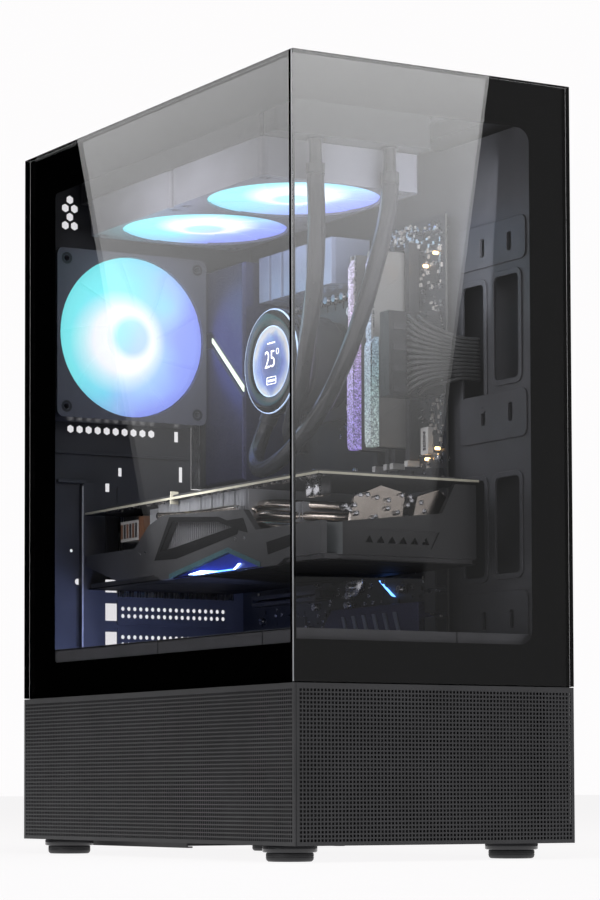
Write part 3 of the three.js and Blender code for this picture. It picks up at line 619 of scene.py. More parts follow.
bpy.context.scene.view_settings.view_transform = "Standard"
make_camera()
make_floor()
make_world()
softbox("side_softbox", 2.62, [
    (-1.138, 1.92, 0.33), (-1.28, 1.6, 0.3), (-1.207, 1.52, 1.3), (-1.032, 2.076, 1.3)])
softbox("front_softbox", 5.7, [
    (0.95, -2.09, 0.33), (1.203, -2.027, 0.33), (1.293, -1.928, 1.3), (0.94, -1.98, 1.3)])
area_light("overhead", (-0.3, -0.6, 2.4), (0, 0, 0.2), 1.6, 28)
area_light("left_fill", (-2.4, -0.6, 1.1), (0, 0, 0.25), 1.2, 12)
area_light("right_fill", (1.4, -2.6, 0.9), (0, 0, 0.2), 1.2, 5, glossy=False)
INSIDE_LIGHTS = [  # name, place, target, size, power and colour
    ("inside_top", (0.03, -0.15, 0.40), (-0.03, 0.08, 0.42), 0.10, 0.2, (0.93, 0.96, 1.0)),
    ("inside_roof", (-0.092, 0.0, 0.405), (0.0, 0.0, 0.44), 0.14, 0.2),
    ("inside_board", (-0.08, -0.14, 0.36), (0.07, -0.06, 0.34), 0.08, 0.12),
    ("inside_blue", (-0.02, 0.03, 0.155), (-0.065, 0.18, 0.16), 0.05, 0.22, LAMP_BLUE),
    ("inside_corner", (-0.08, 0.10, 0.13), (-0.09, 0.18, 0.145), 0.03, 0.048, LAMP_BLUE),
    ("inside_fins", (-0.09, 0.02, 0.262), (0.0, 0.02, 0.225), 0.06, 0.085),
    ("inside_loop", (-0.07, 0.06, 0.33), (0.0, 0.02, 0.27), 0.06, 0.07, (0.6, 0.65, 1.0)),
]
for settings in INSIDE_LIGHTS:
    area_light(*settings, glossy=False)


# ---------------- glass panels


def glass_panel(node, axis, outline):
    """A panel's clear glass, the black print behind it, its painted edges and its polished corner edge."""
    repaint(GLASS, node)
    x, y, z = sides(node)
    thick, along = (x, y) if axis == "x" else (y, x)
    inner = thick[1] + LIFT
    edges = Shape()
    edges.sheet(axis, outline, [], (inner, inner + 0.15))

    def strip(shape, across, length, height, finish=0):
        shape.box(*((across, length) if axis == "x" else (length, across)), height, finish)

    strip(edges, thick, along, (z[0] - 4 * LIFT, z[0] - LIFT))
    strip(edges, thick, along, (z[1] + LIFT, z[1] + 4 * LIFT))
    strip(edges, thick, (along[1] + LIFT, along[1] + 4 * LIFT), z)
    piece(node + "_print", edges, node, [PRINT])
    seam = Shape()
    corner = (along[0] - 3 * LIFT, along[0] - LIFT)
    strip(seam, (thick[0] + 0.2, thick[0] + 1.5), corner, z)
    strip(seam, (thick[0] + 1.6, thick[1]), corner, z, 1)
    piece(node + "_seam", seam, node, [POLISHED, PRINT])


def open_border(start, end, rim_end, low, high, rim_low, rim_high, radius):
    """A border on three sides of a panel, left open at the panel's start edge, with round inner corners."""
    window = []
    for centre, quarter in ((rim_low + radius, 3), (rim_high - radius, 0)):
        for i in range(6):
            angle = (quarter + i / 5) * math.pi / 2
            window.append((rim_end - radius + radius * math.cos(angle), centre + radius * math.sin(angle)))
    return [(start, low), (end, low), (end, high), (start, high), (start, rim_high), *reversed(window),
            (start, rim_low)]


# panel, axis it faces, the clear part's far end, its lowest and highest edge, and the radius of its corners
for node, axis, rim_end, rim_low, rim_high, radius in (
    ("side_glass", "x", 142.0, 132.0, 460.0, 3.0),
    ("front_glass", "y", 74.0, 134.0, 461.0, 9.0),
):
    x, y, (low, high) = sides(node)
    start, end = y if axis == "x" else x
    border = open_border(start, end, rim_end, low, high, rim_low, rim_high, radius)
    glass_panel(node, axis, border)


# ---------------- perforated steel


SHEET = 1.2
MESH_PITCH = 2.5
MESH_HALF_HOLE = 0.78
SLOT_COVERS = (1, 2, 3, 4)
FAN_SCREWS = 52.5  # from a case fan's middle to its screws, across and up
FAN_SCREW_PLACES = [(FAN_SCREWS * a, FAN_SCREWS * b) for a in (-1, 1) for b in (-1, 1)]
POINTED = math.pi / 6  # turns a hexagon so that a corner points up


def grid_holes(u, v, pitch, half):
    """Square holes on a square grid that fills a rectangle."""
    across = int((u[1] - u[0]) / pitch)
    up = int((v[1] - v[0]) / pitch)
    first_u = (u[0] + u[1] - (across - 1) * pitch) / 2
    first_v = (v[0] + v[1] - (up - 1) * pitch) / 2
    return [rectangle(around(first_u + i * pitch, half), around(first_v + j * pitch, half))
            for i in range(across) for j in range(up)]


def honeycomb(u, v, pitch, radius, inside=None):
    """Hexagonal holes in staggered rows, kept where a test of their middle passes."""
    holes = []
    row_step = pitch * math.sqrt(3) / 2
    rows = int((v[1] - v[0]) / row_step)
    columns = int((u[1] - u[0]) / pitch)
    for j in range(rows + 1):
        for i in range(columns + 1):
            cu = u[0] + (i + 0.5 * (j % 2)) * pitch
            cv = v[0] + j * row_step
            if cu <= u[1] and (inside is None or inside(cu, cv)):
                holes.append(ring(cu, cv, radius, 6, POINTED))
    return holes


def base_mesh(node, axis):
    """A base panel of square-hole mesh with a folded top edge."""
    x, y, z = sides(node)
    depth, u = (x, y) if axis == "x" else (y, x)
    holes = grid_holes(grown(u, -1.5), (z[0] + 1.5, z[1] - 2.5), MESH_PITCH, MESH_HALF_HOLE)
    shape = Shape()
    shape.sheet(axis, rectangle(u, z), holes, (depth[0], depth[0] + SHEET))
    shape.box((x[0] + SHEET, x[1]), (y[0] + SHEET, y[1]), (z[1] - SHEET, z[1]))
    piece(node + "_perforated", shape, CASE, [MESH_STEEL], [node])


base_mesh("side_base_mesh", "x")
base_mesh("front_base_mesh", "y")


def slot_heights():
    """The middle heights of the seven expansion slots, from the top down."""
    covers = [middle(f"slot_cover_{i}")[2] for i in SLOT_COVERS]
    pitch = covers[1] - covers[2]
    return [covers[0] - pitch * i for i in range(7)]


SLOTS = slot_heights()
SLOT_LEFT = -38.8
FAN = middle("rear_fan_frame")
GRILLE = (24, 54)  # the fan grille's inner and outer radius


def in_fan_bore(u, v):
    """Whether a point of the rear wall lies in the ring of the fan's grille."""
    return GRILLE[0] < math.hypot(u - FAN[0], v - FAN[2]) < GRILLE[1]


def rear_wall():
    """The rear panel: openings for ports, slots and supply, a fan grille, vents, and ribs inside."""
    x, y, z = sides("rear_wall")
    port_x, _, port_z = sides("port_block")
    supply_x, _, supply_z = sides("psu_case")
    holes = [rectangle(grown(port_x, 0.4), grown(port_z, 0.4))]
    holes += [rectangle(grown(supply_x, -3), grown(supply_z, -3))]
    holes += [rectangle((SLOT_LEFT, 60), around(level, 6.2)) for level in SLOTS[1:]]
    holes += [rectangle((SLOT_LEFT, -35.5), around(SLOTS[0] + 8, 3))]
    holes += [rectangle((-26, 60), around(SLOTS[0], 6.2))]
    holes += honeycomb(around(FAN[0], GRILLE[1]), around(FAN[2], GRILLE[1]), 7.2, 3.3, in_fan_bore)
    holes += [ring(FAN[0] - 36.7 + 7.25 * i, 301, 2.9, 6, POINTED) for i in range(10)]
    holes += honeycomb((-71, -62), (447, 466), 7.2, 3.1)
    holes += [rectangle(around(cx, a), around(cz, b)) for cx, cz, a, b in (
        (19, 300, 1.6, 3.8), (-27, 272, 1.4, 3), (22.6, 272.6, 1.4, 5.5))]
    holes += [ring(-61, 192, 2.2, 12), ring(-66, 214, 1.2, 10)]
    holes += [ring(FAN[0] + a, FAN[2] + b, 2.2, 10) for a, b in FAN_SCREW_PLACES]
    holes += [ring(96, level, 2.6, 10) for level in (40, 460)]
    shape = Shape()
    shape.sheet("y", rectangle(x, z), holes, y)
    shape.prism("y", rounded((-60, -48), (100, 262), 3, 3), (y[1] - 6, y[0]))
    # painted highlight: a thin pale strip down the rib's edge stands in for light catching that edge
    shape.box((-60.4, -59.3), (y[1] - 6.8, y[1] - 5.8), (118, 260), 1)
    for across, reach, up in (((-78, -55), 4.5, (262, 264.5)), ((-92, 28), 3.5, (283, 285)),
                              ((-97, -84), 12, (118, 280)), ((-97, -92), 12, (280, 478))):
        shape.box(across, (y[1] - reach, y[0]), up)
    piece("rear_wall_pressed", shape, CASE, [INNER_STEEL, PALE_PLASTIC], ["rear_wall"], 0.25)


def slot_cover(node):
    """A blanking cover with two rows of round vents. The cover of the top slot has none."""
    x, y, z = sides(node)
    level = middle(node)[2]
    columns = 0 if level == SLOTS[0] else 18
    vents = [(-25.3 + 4.85 * i, level + row) for i in range(columns) for row in (-2.6, 2.6)]
    shape = Shape()
    shape.sheet("y", rounded(x, z, 1.5, 2), [ring(*vent, 1.55, 10) for vent in vents], y)
    piece(node + "_vented", shape, CASE, [INNER_STEEL], [node])


rear_wall()
for number in SLOT_COVERS:
    slot_cover(f"slot_cover_{number}")


def card_bracket():
    """The card's end plate: video sockets, exhaust slots, and a dark guard beside it."""
    x, y, z = sides("card_bracket")
    holes = [rounded((-24 + 11 * i, -16 + 11 * i), around(level, 5), 1.5, 2)
             for level in (SLOTS[3], SLOTS[2] - 2) for i in range(7)]
    shape = Shape()
    shape.sheet("y", rectangle(x, z), holes, y)
    shape.box((-39.4, x[0]), (y[0] - 2, y[1]), (z[0] + 12, z[1]), 1)
    level = SLOTS[1] - 4
    for i in range(4):
        shell = (-22.4 + 20 * i, -5.6 + 20 * i)
        shape.sheet("y", rounded(shell, around(level, 3), 0.8, 2),
                    [rounded(grown(shell, -0.6), around(level, 2.4), 0.6, 2)], (y[1] - 0.4, y[1]))
        shape.box(grown(shell, -0.8), (y[0] - 7, y[0]), around(level, 2.2), 1)
    piece("card_bracket_vented", shape, CASE, [NICKEL, CONNECTOR], ["card_bracket"])


card_bracket()


STANDOFFS = [(y, z) for y in (-80, 22, 166) for z in (126, 262, 415)]


def motherboard_tray():
    """The tray's sheet, with cable windows and tie slots in raised rims, and the board's standoffs."""
    _, y, z = sides("motherboard_tray")
    windows = [((-163, -135), (306, 374)), ((-163, -135), (181, 244)), ((-124, -99), (290, 372)),
               ((-124, -99), (180, 244)), ((-166, 168), (24, 108))]
    ties = [rounded(around(u, 2.4), around(v, 6), 1.4, 2) for u in (-122.5, -153) for v in (395, 285, 152)]
    shape = Shape()
    shape.sheet("x", rectangle(y, z), [rounded(*window, 4, 3) for window in windows] + ties, (81.0, 82.0))
    for place in STANDOFFS:
        shape.rod("x", *place, 3, (74.8, 81.5), 1, 6)
    for u, v in windows[:4]:
        inner = rounded(grown(u, -0.5), grown(v, -0.5), 3.5, 3)
        shape.sheet("x", rounded(grown(u, 3), grown(v, 3), 6, 3), [inner], (79.8, 80.9))
    for row, band in enumerate(((382, 410), (268, 299), (132, 170))):
        shape.sheet("x", rounded((-171, -96), band, 5, 3), ties[row::3], (79.7, 81))
    finishes = [INNER_STEEL, TINNED]
    piece("motherboard_tray_pressed", shape, CASE, finishes, ["motherboard_tray"], 0.3)


motherboard_tray()


def power_shroud():
    """The cover over the power supply, with a raised lip that meets the glass."""
    x, y, z = sides("psu_shroud")
    top = 114.0
    vents = [rounded((-60 + 9 * i, -56 + 9 * i), (60 + 34 * j, 88 + 34 * j), 1.9, 3)
             for i in range(13) for j in range(3)]
    shape = Shape()
    shape.sheet("z", rectangle(x, y), vents, (top - SHEET, top))
    shape.box((x[0], x[0] + SHEET), y, z)
    shape.box(x, (y[0], y[0] + SHEET), z)
    lip = (z[1] - 25, z[1])
    seams = (y[0] + 0.2, -142.5, -7.5, y[1] - 4)
    for start, end in zip(seams, seams[1:]):
        shape.box((x[0] - 0.9, x[0] - LIFT), (start + 0.4, end - 0.4), lip, 1)
        shape.box((x[0] - 0.9, x[0] + 5), (start + 0.4, end - 0.4), (z[1] - 1.4, z[1] - 0.1), 1)
    for part in ((x[0] + 2, 20), (20.8, x[1] - 2)):
        shape.box(part, (y[0] - 0.9, y[0] - LIFT), lip, 1)
    piece("psu_shroud_folded", shape, CASE, [STEEL, INNER_STEEL], ["psu_shroud"], 0.3)


power_shroud()


def top_frame():
    """The roof: a honeycomb under the filter, an opening for the controls, and two folded edges."""
    x, y, z = sides("top_frame")
    bezel_x, bezel_y, _ = sides("control_bezel")
    filter_x, filter_y, _ = sides("top_dust_filter")
    skin = 1.0
    holes = [rectangle(grown(bezel_x, 0.3), grown(bezel_y, 0.3))]
    holes += honeycomb((filter_x[0] + 8, filter_x[1] - 6), (filter_y[0] + 8, filter_y[1] - 6), 9, 4.2)
    shape = Shape()
    shape.sheet("z", rectangle(x, y), holes, (z[1] - skin, z[1]))
    shape.box((x[0], x[0] + skin), y, z)
    shape.box((x[0], bezel_x[0] - 2), (y[0], y[0] + skin), z)
    piece("top_frame_vented", shape, CASE, [INNER_STEEL], ["top_frame"])


def dust_filter(node, net_level, frame_level, pull):
    """A frame with three windows moulded round a woven net, and a ribbed pull at the back of a drawn one."""
    x, y, (low, high) = sides(node)
    inner_x, inner_y = grown(x, -FILTER_FRAME), grown(y, -FILTER_FRAME)
    net = Shape()
    net.sheet("z", rounded(x, y, 3, 3), grid_holes(inner_x, inner_y, 3.0, 3.0 * 0.33), net_level)
    piece(node + "_net", net, node, [FILTER])
    rim = Shape()
    step = (inner_x[1] - inner_x[0]) / 3
    windows = [rounded((inner_x[0] + i * step + 1, inner_x[0] + (i + 1) * step - 1), inner_y, 3, 3)
               for i in range(3)]
    rim.sheet("z", rounded(x, y, 3, 3), windows, frame_level)
    if pull:
        rim.box((-18, 18), (y[1] - 5, y[1]), (low, high - 0.2))
        for i in range(9):
            rim.box((-14 + 3.2 * i, -12.6 + 3.2 * i), (y[1] - 0.4, y[1] + 0.3), (low + 0.6, high - 0.8))
    piece(node + "_frame", rim, node, [PLASTIC], [node])


FILTER_FRAME = 7
top_frame()
low, high = sides("top_dust_filter")[2]
dust_filter("top_dust_filter", (high - 0.9, high - 0.5), (low, high - 0.95), pull=False)
low, high = sides("bottom_dust_filter")[2]
dust_filter("bottom_dust_filter", (low + 2, low + 2.4), (low + 1.5, high), pull=True)


# ---------------- feet, screws and controls


def foot(node):
    """A turned foot: a rubber pad in a glossy ring, with a screw in its middle."""
    u, v, _ = middle(node)
    top = sides(node)[2][1]
    pad = [(0.5, 0.8), (5, 0.8), (5.4, 0.1), (13.2, 0.0), (14.2, 0.8), (14.5, 1.6), (14.5, 5.0), (14.1, 5.4),
           (13, 5.5)]
    collar = [(13, 5.45), (16.2, 5.6), (16.8, 6.2), (16.8, top - 0.4), (16.4, top), (10, top)]
    shape = Shape()
    shape.lathe("z", u, v, pad, 0, 48)
    shape.lathe("z", u, v, collar, 1, 48)
    for z in (2.4, 3.4, 4.3):
        groove = [(14.2, z - 0.25), (14.75, z - 0.1), (14.75, z + 0.1), (14.2, z + 0.25)]
        shape.lathe("z", u, v, groove, 0, 48)
    shape.lathe("z", u, v, [(3.8, 0.9), (3.8, 1.6), (3.2, 2.1), (0.2, 2.2)], 2, 20)
    piece(node + "_turned", shape, CASE, [RUBBER, FOOT_GLOSS, TINNED], [node])


for number in (1, 2, 3, 4):
    foot(f"foot_{number}")


def thumbscrew(node):
    """A captive screw with a knurled head."""
    u, _, v = middle(node)
    tip, end = sides(node)[1]
    shape = Shape()
    count = 24
    knurl = [(u + r * math.cos(a), v + r * math.sin(a)) for i in range(count) for r, a in (
        (5.55, 2 * math.pi * i / count), (5.1, 2 * math.pi * (i + 0.5) / count))]
    shape.prism("y", knurl, (end - 4.2, end - 0.5))
    head = [(5.0, end - 0.6), (4.6, end), (2.6, end), (2.4, end - 0.7), (0.1, end - 0.7)]
    shape.lathe("y", u, v, head, 0, 24)
    for turn in range(14):
        y = tip + 0.3 + 0.7 * turn
        shape.lathe("y", u, v, [(1.55, y - 0.35), (1.95, y), (1.55, y + 0.35)], 1, 14)
    piece(node + "_knurled", shape, "right_side_panel", [STEEL, TINNED], [node])


thumbscrew("thumbscrew_1")
thumbscrew("thumbscrew_2")
repaint(PLASTIC, "control_bezel", bevel=0.5)
repaint(STEEL, "right_side_panel", "chassis_floor", bevel=0.25)
repaint(INNER_STEEL, "front_post", "slot_screw_cover", bevel=0.2)


def bezel_details():
    """Lamp rings, socket shells and contact tongues in the control strip."""
    x = middle("control_bezel")[0]
    top = sides("control_bezel")[2][1]
    power = middle("power_button")[1]
    shape = Shape()
    for y in (-112, -92):
        shape.sheet("z", rounded(around(x, 2.6), around(y, 6.2), 0.3, 1),
                    [rounded(around(x, 2.2), around(y, 5.8), 0.2, 1)], (top - 9.5, top + LIFT), 0)
        shape.box((x - 1.5, x - 0.1), around(y, 5), (top - 9.5, top - 1.2), 1)
        for k in range(4):
            shape.box((x - 0.1, x + LIFT), around(y - 3.6 + 2.4 * k, 0.6), (top - 7, top - 2), 0)
    shape.sheet("z", ring(x, -64, 2.7, 24), [ring(x, -64, 1.75, 24)], (top - 1, top + LIFT), 0)
    shape.sheet("z", ring(x, power, 7.95, 40), [ring(x, power, 7.3, 40)], (top - 0.6, top + LIFT), 2)
    for y in (-124, -80, -74):
        shape.rod("z", x, y, 0.7, (top - 0.4, top + LIFT), 2, 12)
    piece("control_bezel_sockets", shape, CASE, [NICKEL, CONNECTOR, PALE_LIGHT])


def button(node, radius):
    """A dished button cap on its stem."""
    u, v, _ = middle(node)
    base, top = sides(node)[2]
    profile = [(radius - 0.6, base), (radius - 0.6, base + 1), (radius, base + 1.2), (radius, top - 0.4),
               (radius - 0.4, top), (radius * 0.75, top - 0.15), (radius * 0.4, top - 0.4), (0.1, top - 0.5)]
    shape = Shape()
    shape.lathe("z", u, v, profile, 0, 40)
    piece(node + "_cap", shape, node, [GLOSS], [node])


bezel_details()
button("power_button", 6.5)
button("reset_button", 3.0)


# ---------------- fans


def fan_axes(axis, centre):
    """The two coordinates across a fan's axis and its middle along it."""
    x, y, z = centre
    return {"y": (x, z, y), "z": (x, y, z)}[axis]


def fan_frame(node, axis):
    """A square frame with a bore, corner pads, screw holes, and a motor mount on four struts."""
    u, v, w = fan_axes(axis, middle(node))
    half = 60.0
    depth = 12.5
    shape = Shape()
    outer = rounded(around(u, half), around(v, half), 5, 4)
    bore = ring(u, v, 57.5, 72)
    corners = [(u + a, v + b) for a, b in FAN_SCREW_PLACES]
    holes = [ring(*corner, 2.15, 12) for corner in corners]
    shape.sheet(axis, outer, [bore, *holes], around(w, depth))
    for corner in corners:
        for end in (-1, 1):
            pad = sorted((w + end * (depth - 0.1), w + end * (depth + LIFT)))
            shape.sheet(axis, ring(*corner, 4.2, 20), [ring(*corner, 2.4, 16)], pad, 1)
    mount = (w + (depth - 3.2), w + (depth - 0.2))
    shape.rod(axis, u, v, 20.5, mount, 0, 40)
    for k in range(4):
        angle = math.pi / 4 + k * math.pi / 2
        ahead, side = (math.cos(angle), math.sin(angle)), (-math.sin(angle), math.cos(angle))
        outline = [(u + ahead[0] * r + side[0] * s, v + ahead[1] * r + side[1] * s)
                   for r, s in ((19, -2.6), (58.2, -1.6), (58.2, 1.6), (19, 2.6))]
        shape.prism(axis, outline, mount, 0)
    # the frame's finish paints the blades' blue glow into its colour
    piece(node + "_moulded", shape, CASE, [FRAME_PLASTIC_AND_GLOW, CUFF], [node], 0.3)


def blade_depth(across, depth):
    """How far behind the front plane a blade lies, from its leading edge at -0.5 to its trailing edge at 0.5.

    The leading part is nearly flat and covers the gap to the next blade. The trailing part dips behind it.
    """
    flat_end, flat_dip = 0.12, 0.6
    if across < flat_end:
        return flat_dip * (across + 0.5) / (flat_end + 0.5)
    return flat_dip + (depth - flat_dip) * ((across - flat_end) / (0.5 - flat_end)) ** 1.3


def fan_rotor(node, axis, light, slot, radius, hub, depth, blades, sweep, overlap, cap=None):
    """A rotor with curved, swept blades round a domed hub that faces down the axis."""
    u, v, w = fan_axes(axis, middle(node))
    face, rear = around(w, depth * 0.5)
    shape = Shape()
    rows, columns = 8, 12
    chord = overlap * 2 * math.pi / blades
    for blade in range(blades):
        top, bottom = [], []
        for i in range(rows + 1):
            t = i / rows
            r = hub - 1 + (radius - hub + 1) * t
            lean = sweep * (t - 0.4 * t * t)
            upper, lower = [], []
            for k in range(columns + 1):
                c = k / columns - 0.5
                angle = 2 * math.pi * blade / blades + lean + c * chord
                height = face + (0.5 + blade_depth(c, (depth - 3) * (1 - 0.35 * t)))
                thick = 0.5 * (1 - 4 * c * c) + 0.1
                place = (u + r * math.cos(angle), v + r * math.sin(angle))
                upper.append(at(axis, *place, height))
                lower.append(at(axis, *place, height + thick))
            top.append(upper)
            bottom.append(lower)
        shape.surface(top, 0)
        shape.surface(bottom, 0)
        for edge in (0, -1):
            shape.surface([top[edge], bottom[edge]], 0, smooth=False)
            shape.surface([[row[edge] for row in top], [row[edge] for row in bottom]], 0, smooth=False)
    dome = [(hub, rear), (hub, face + 1.6), (hub - 0.5, face + 0.7), (hub - 1.6, face),
            (hub * 0.6, face - 0.15), (0.1, face - 0.2)]
    shape.lathe(axis, u, v, dome, 1, 48)
    piece(node + "_moulded", shape, node, [light, cap or light], [node])


def lit_fan(frame_node, rotor, axis, light_name, towards, crescent_towards):
    """A case fan whose blades glow: bluer away from one direction, whiter at the hub towards another."""
    light = fan_light(light_name, middle(rotor), towards, crescent_towards, CASE_FAN["radius"], 1.2)
    fan_frame(frame_node, axis)
    fan_rotor(rotor, axis, light, "lit_rotor", **CASE_FAN)


CASE_FAN = {"radius": 57, "hub": 20.4, "depth": 17.6, "blades": 9, "sweep": 0.55, "overlap": 2.0}
CARD_FAN = {"radius": 42.9, "hub": 14.9, "depth": 10.4, "blades": 11, "sweep": 0.7, "overlap": 1.2}
SUPPLY_FAN = {"radius": 57.6, "hub": 18.9, "depth": 14, "blades": 7, "sweep": 0.6, "overlap": 1.2}
lit_fan("rear_fan_frame", "rear_fan_rotor", "y", "rear_fan_light", (-0.85, 0.0, 0.5), (-0.9, 0.0, -0.35))
for number in (1, 2):
    lit_fan(f"top_fan_frame_{number}", f"top_fan_rotor_{number}", "z", f"top_fan_light_{number}",
            (-0.75, -0.3, 0.0), (-0.3, -0.9, 0.0))


# ---------------- liquid cooler


PORT_X = (-38, 18)
PORT_END = 440.0


def radiator():
    """Flat tubes with folded fins between them, side rails, two tanks and two threaded ports."""
    (left, right), (front, rear), (_, top) = sides("radiator")
    core = (front + 18, rear - 18)
    bottom = top - 27
    rail = 2.2
    shape = Shape()
    for x in (left, right - rail):
        shape.box((x, x + rail), core, (bottom, top))
    for tank in ((front, core[0]), (core[1], rear)):
        shape.prism("z", rounded((left + 1.5, right - 1.5), tank, 3, 3), (bottom + 0.1, top - 0.1))
    gaps = 12
    step = (right - left - 2 * rail) / gaps
    for i in range(1, gaps):
        shape.box(around(left + rail + i * step, 0.9), core, (bottom + 2, top - 2))
    folds = 150
    for i in range(gaps):
        ends = grown((left + rail + i * step, left + rail + (i + 1) * step), -0.95)
        zigzag = [(ends[1 - k % 2], core[0] + (core[1] - core[0]) * k / folds) for k in range(folds + 1)]
        shape.surface([[(*place, z) for place in zigzag] for z in (bottom + 2.5, top - 2.5)], smooth=False)
    port = [(5.6, bottom + 0.2), (5.6, bottom - 1.4), (4.1, bottom - 1.8), (4.1, PORT_END)]
    for x in PORT_X:
        shape.lathe("z", x, front + 8.5, port, 2, 28)
    for x in (left + 7.5, right - 7.5):
        for y in (-92, 12, 27, 132):
            shape.rod("z", x, y, 2.4, (bottom - 0.02, bottom + 1.4), 1, 12)
    piece("radiator_core", shape, CASE, [RADIATOR, TINNED, GLOSS], ["radiator"], 0.3)


radiator()

PUMP = middle("pump_display")
TUBE_RADIUS = 5.7
TUBE_ROUTES = [
    [(-38, -108.5, PORT_END + 1), (-38, -108.5, 428), (-37, -108, 404), (-32, -97, 366), (-25, -77, 336),
     (-13, -50, 312), (1, -16, 296), (16, 14, 288), (31, 38, 284)],
    [(18, -108.5, PORT_END + 1), (18, -108.5, 428), (16, -107, 410), (13, -99, 382), (11, -85, 352),
     (9, -66, 322), (8, -42, 297), (7, -12, 277), (9, 22, 265), (14, 52, 264), (23, 73, 275), (31, 78, 291)],
]
BRAID_THREADS = 6
BRAID_TWIST = 0.09
BARBS = [(40, -70), (34, -38)]  # each hose end's distance in X, and its turn about the pump's axis in degrees
BARB_REACH = 44


def barb_point(x, degrees, reach):
    """A point on the line of a hose end, at a distance from the pump's axis."""
    turn = math.radians(degrees)
    return (x, PUMP[1] + reach * math.cos(turn), PUMP[2] + reach * math.sin(turn))


def braid(distance, angle):
    """The radius of a sleeved tube: two sets of threads that wind round it both ways."""
    over = max(math.cos(BRAID_THREADS * angle + BRAID_TWIST * distance),
               math.cos(BRAID_THREADS * angle - BRAID_TWIST * distance))
    return TUBE_RADIUS - 0.35 + 0.35 * over


def coolant_tube(node, route, barb):
    """A sleeved tube from the radiator's port to the pump's hose end, with a ribbed and a plain cuff."""
    line = smooth_line([*route, barb_point(*barb, BARB_REACH + 6), barb_point(*barb, BARB_REACH + 0.3)], 0.85)
    shape = Shape()
    shape.sweep(line, braid, 0, 40)
    obj = piece(node + "_sleeved", shape, CASE, [SLEEVE], [node])
    ends = Shape()
    ends.sweep(line[:9], lambda along, angle: 5.95 + 0.12 * math.cos(along * 4), 0, 28)
    ends.sweep(line[9:11], 5.9, 0, 28)
    ends.sweep(line[-16:], 6.4, 0, 28)
    cuffs = piece(node + "_cuffs", ends, CASE, [CUFF])


for number in (0, 1):
    coolant_tube(f"coolant_tube_{number + 1}", TUBE_ROUTES[number], BARBS[number])


def pump():
    """A round housing with a lit screen in a glossy ring, on a bracketed cold plate."""
    _, y, z = PUMP
    body = [(10, 20.6), (31.2, 20.6), (32.6, 21.4), (32.6, 27), (31.6, 27.6), (31.6, 29), (32.9, 29.6),
            (32.9, 50), (30, 54), (30, 61)]
    shape = Shape()
    shape.lathe("x", y, z, body, 0, 72)
    shape.prism("x", rounded(around(y, 38), around(z, 38), 8, 4), (60, 63), 0)
    shape.prism("x", rounded(around(y, 29), around(z, 29), 3, 3), (63, 68), 2)
    nut = [(3.6, 60), (3.6, 54), (3.0, 53), (1.4, 53), (1.2, 54)]
    for a in (-1, 1):
        for b in (-1, 1):
            shape.lathe("x", y + a * 33, z + b * 33, nut, 2, 20)
    for barb in BARBS:
        inner, outer = Vector(barb_point(*barb, 27)), Vector(barb_point(*barb, BARB_REACH))
        steps = [inner.lerp(outer, t) for t in (0, 0.35, 0.4, 0.6, 0.65, 0.85, 0.9, 1.0)]
        for start, end, radius in zip(steps, steps[1:], (5.2, 5.2, 6.4, 6.4, 5.4, 5.4, 6.3)):
            shape.sweep([start, end], radius, 1, 24)
    finishes = [PLASTIC, NICKEL, ALUMINIUM]
    piece("pump_block_turned", shape, CASE, finishes, ["pump_block"], 0.3)

    rim = [(24.4, 11.6), (25.2, 11.05), (34.9, 11.05), (36.2, 12.2), (36.4, 14), (36.4, 19.4), (35.3, 20.2),
           (24.4, 20.2)]
    bezel = Shape()
    bezel.lathe("x", y, z, rim, 0, 96, closed=True)
    # painted highlight: the thin ring at the bezel's outer front edge and the ring round the screen glow
    # faint pale blue, in place of light caught on those edges
    bezel.lathe("x", y, z, [(35.2, 11.0), (35.7, 11.15), (36.2, 11.7), (35.5, 11.6)], 1, 96, closed=True)
    bezel.sheet("x", ring(y, z, 24.4, 96), [ring(y, z, 23.7, 96)], (11.3, 12.4), 1)
    piece("pump_display_ring", bezel, CASE, [GLOSS, RING_PAINTED_HIGHLIGHT], ["pump_display"])
    screen = Shape()
    screen.lathe("x", y, z, [(23.7, 12.6), (23.7, 12.0), (12, 11.9), (0.1, 11.88)], 0, 64)
    piece("pump_display_screen", screen, CASE, [SCREEN])


SCREEN = screen_finish((12, PUMP[1], PUMP[2]), 23.7)
# the glow of the bezel rings is a painted highlight, not a lamp
RING_PAINTED_HIGHLIGHT = glow("pump_ring_painted_highlight", (0.6, 0.75, 1.0), 0.16)
pump()


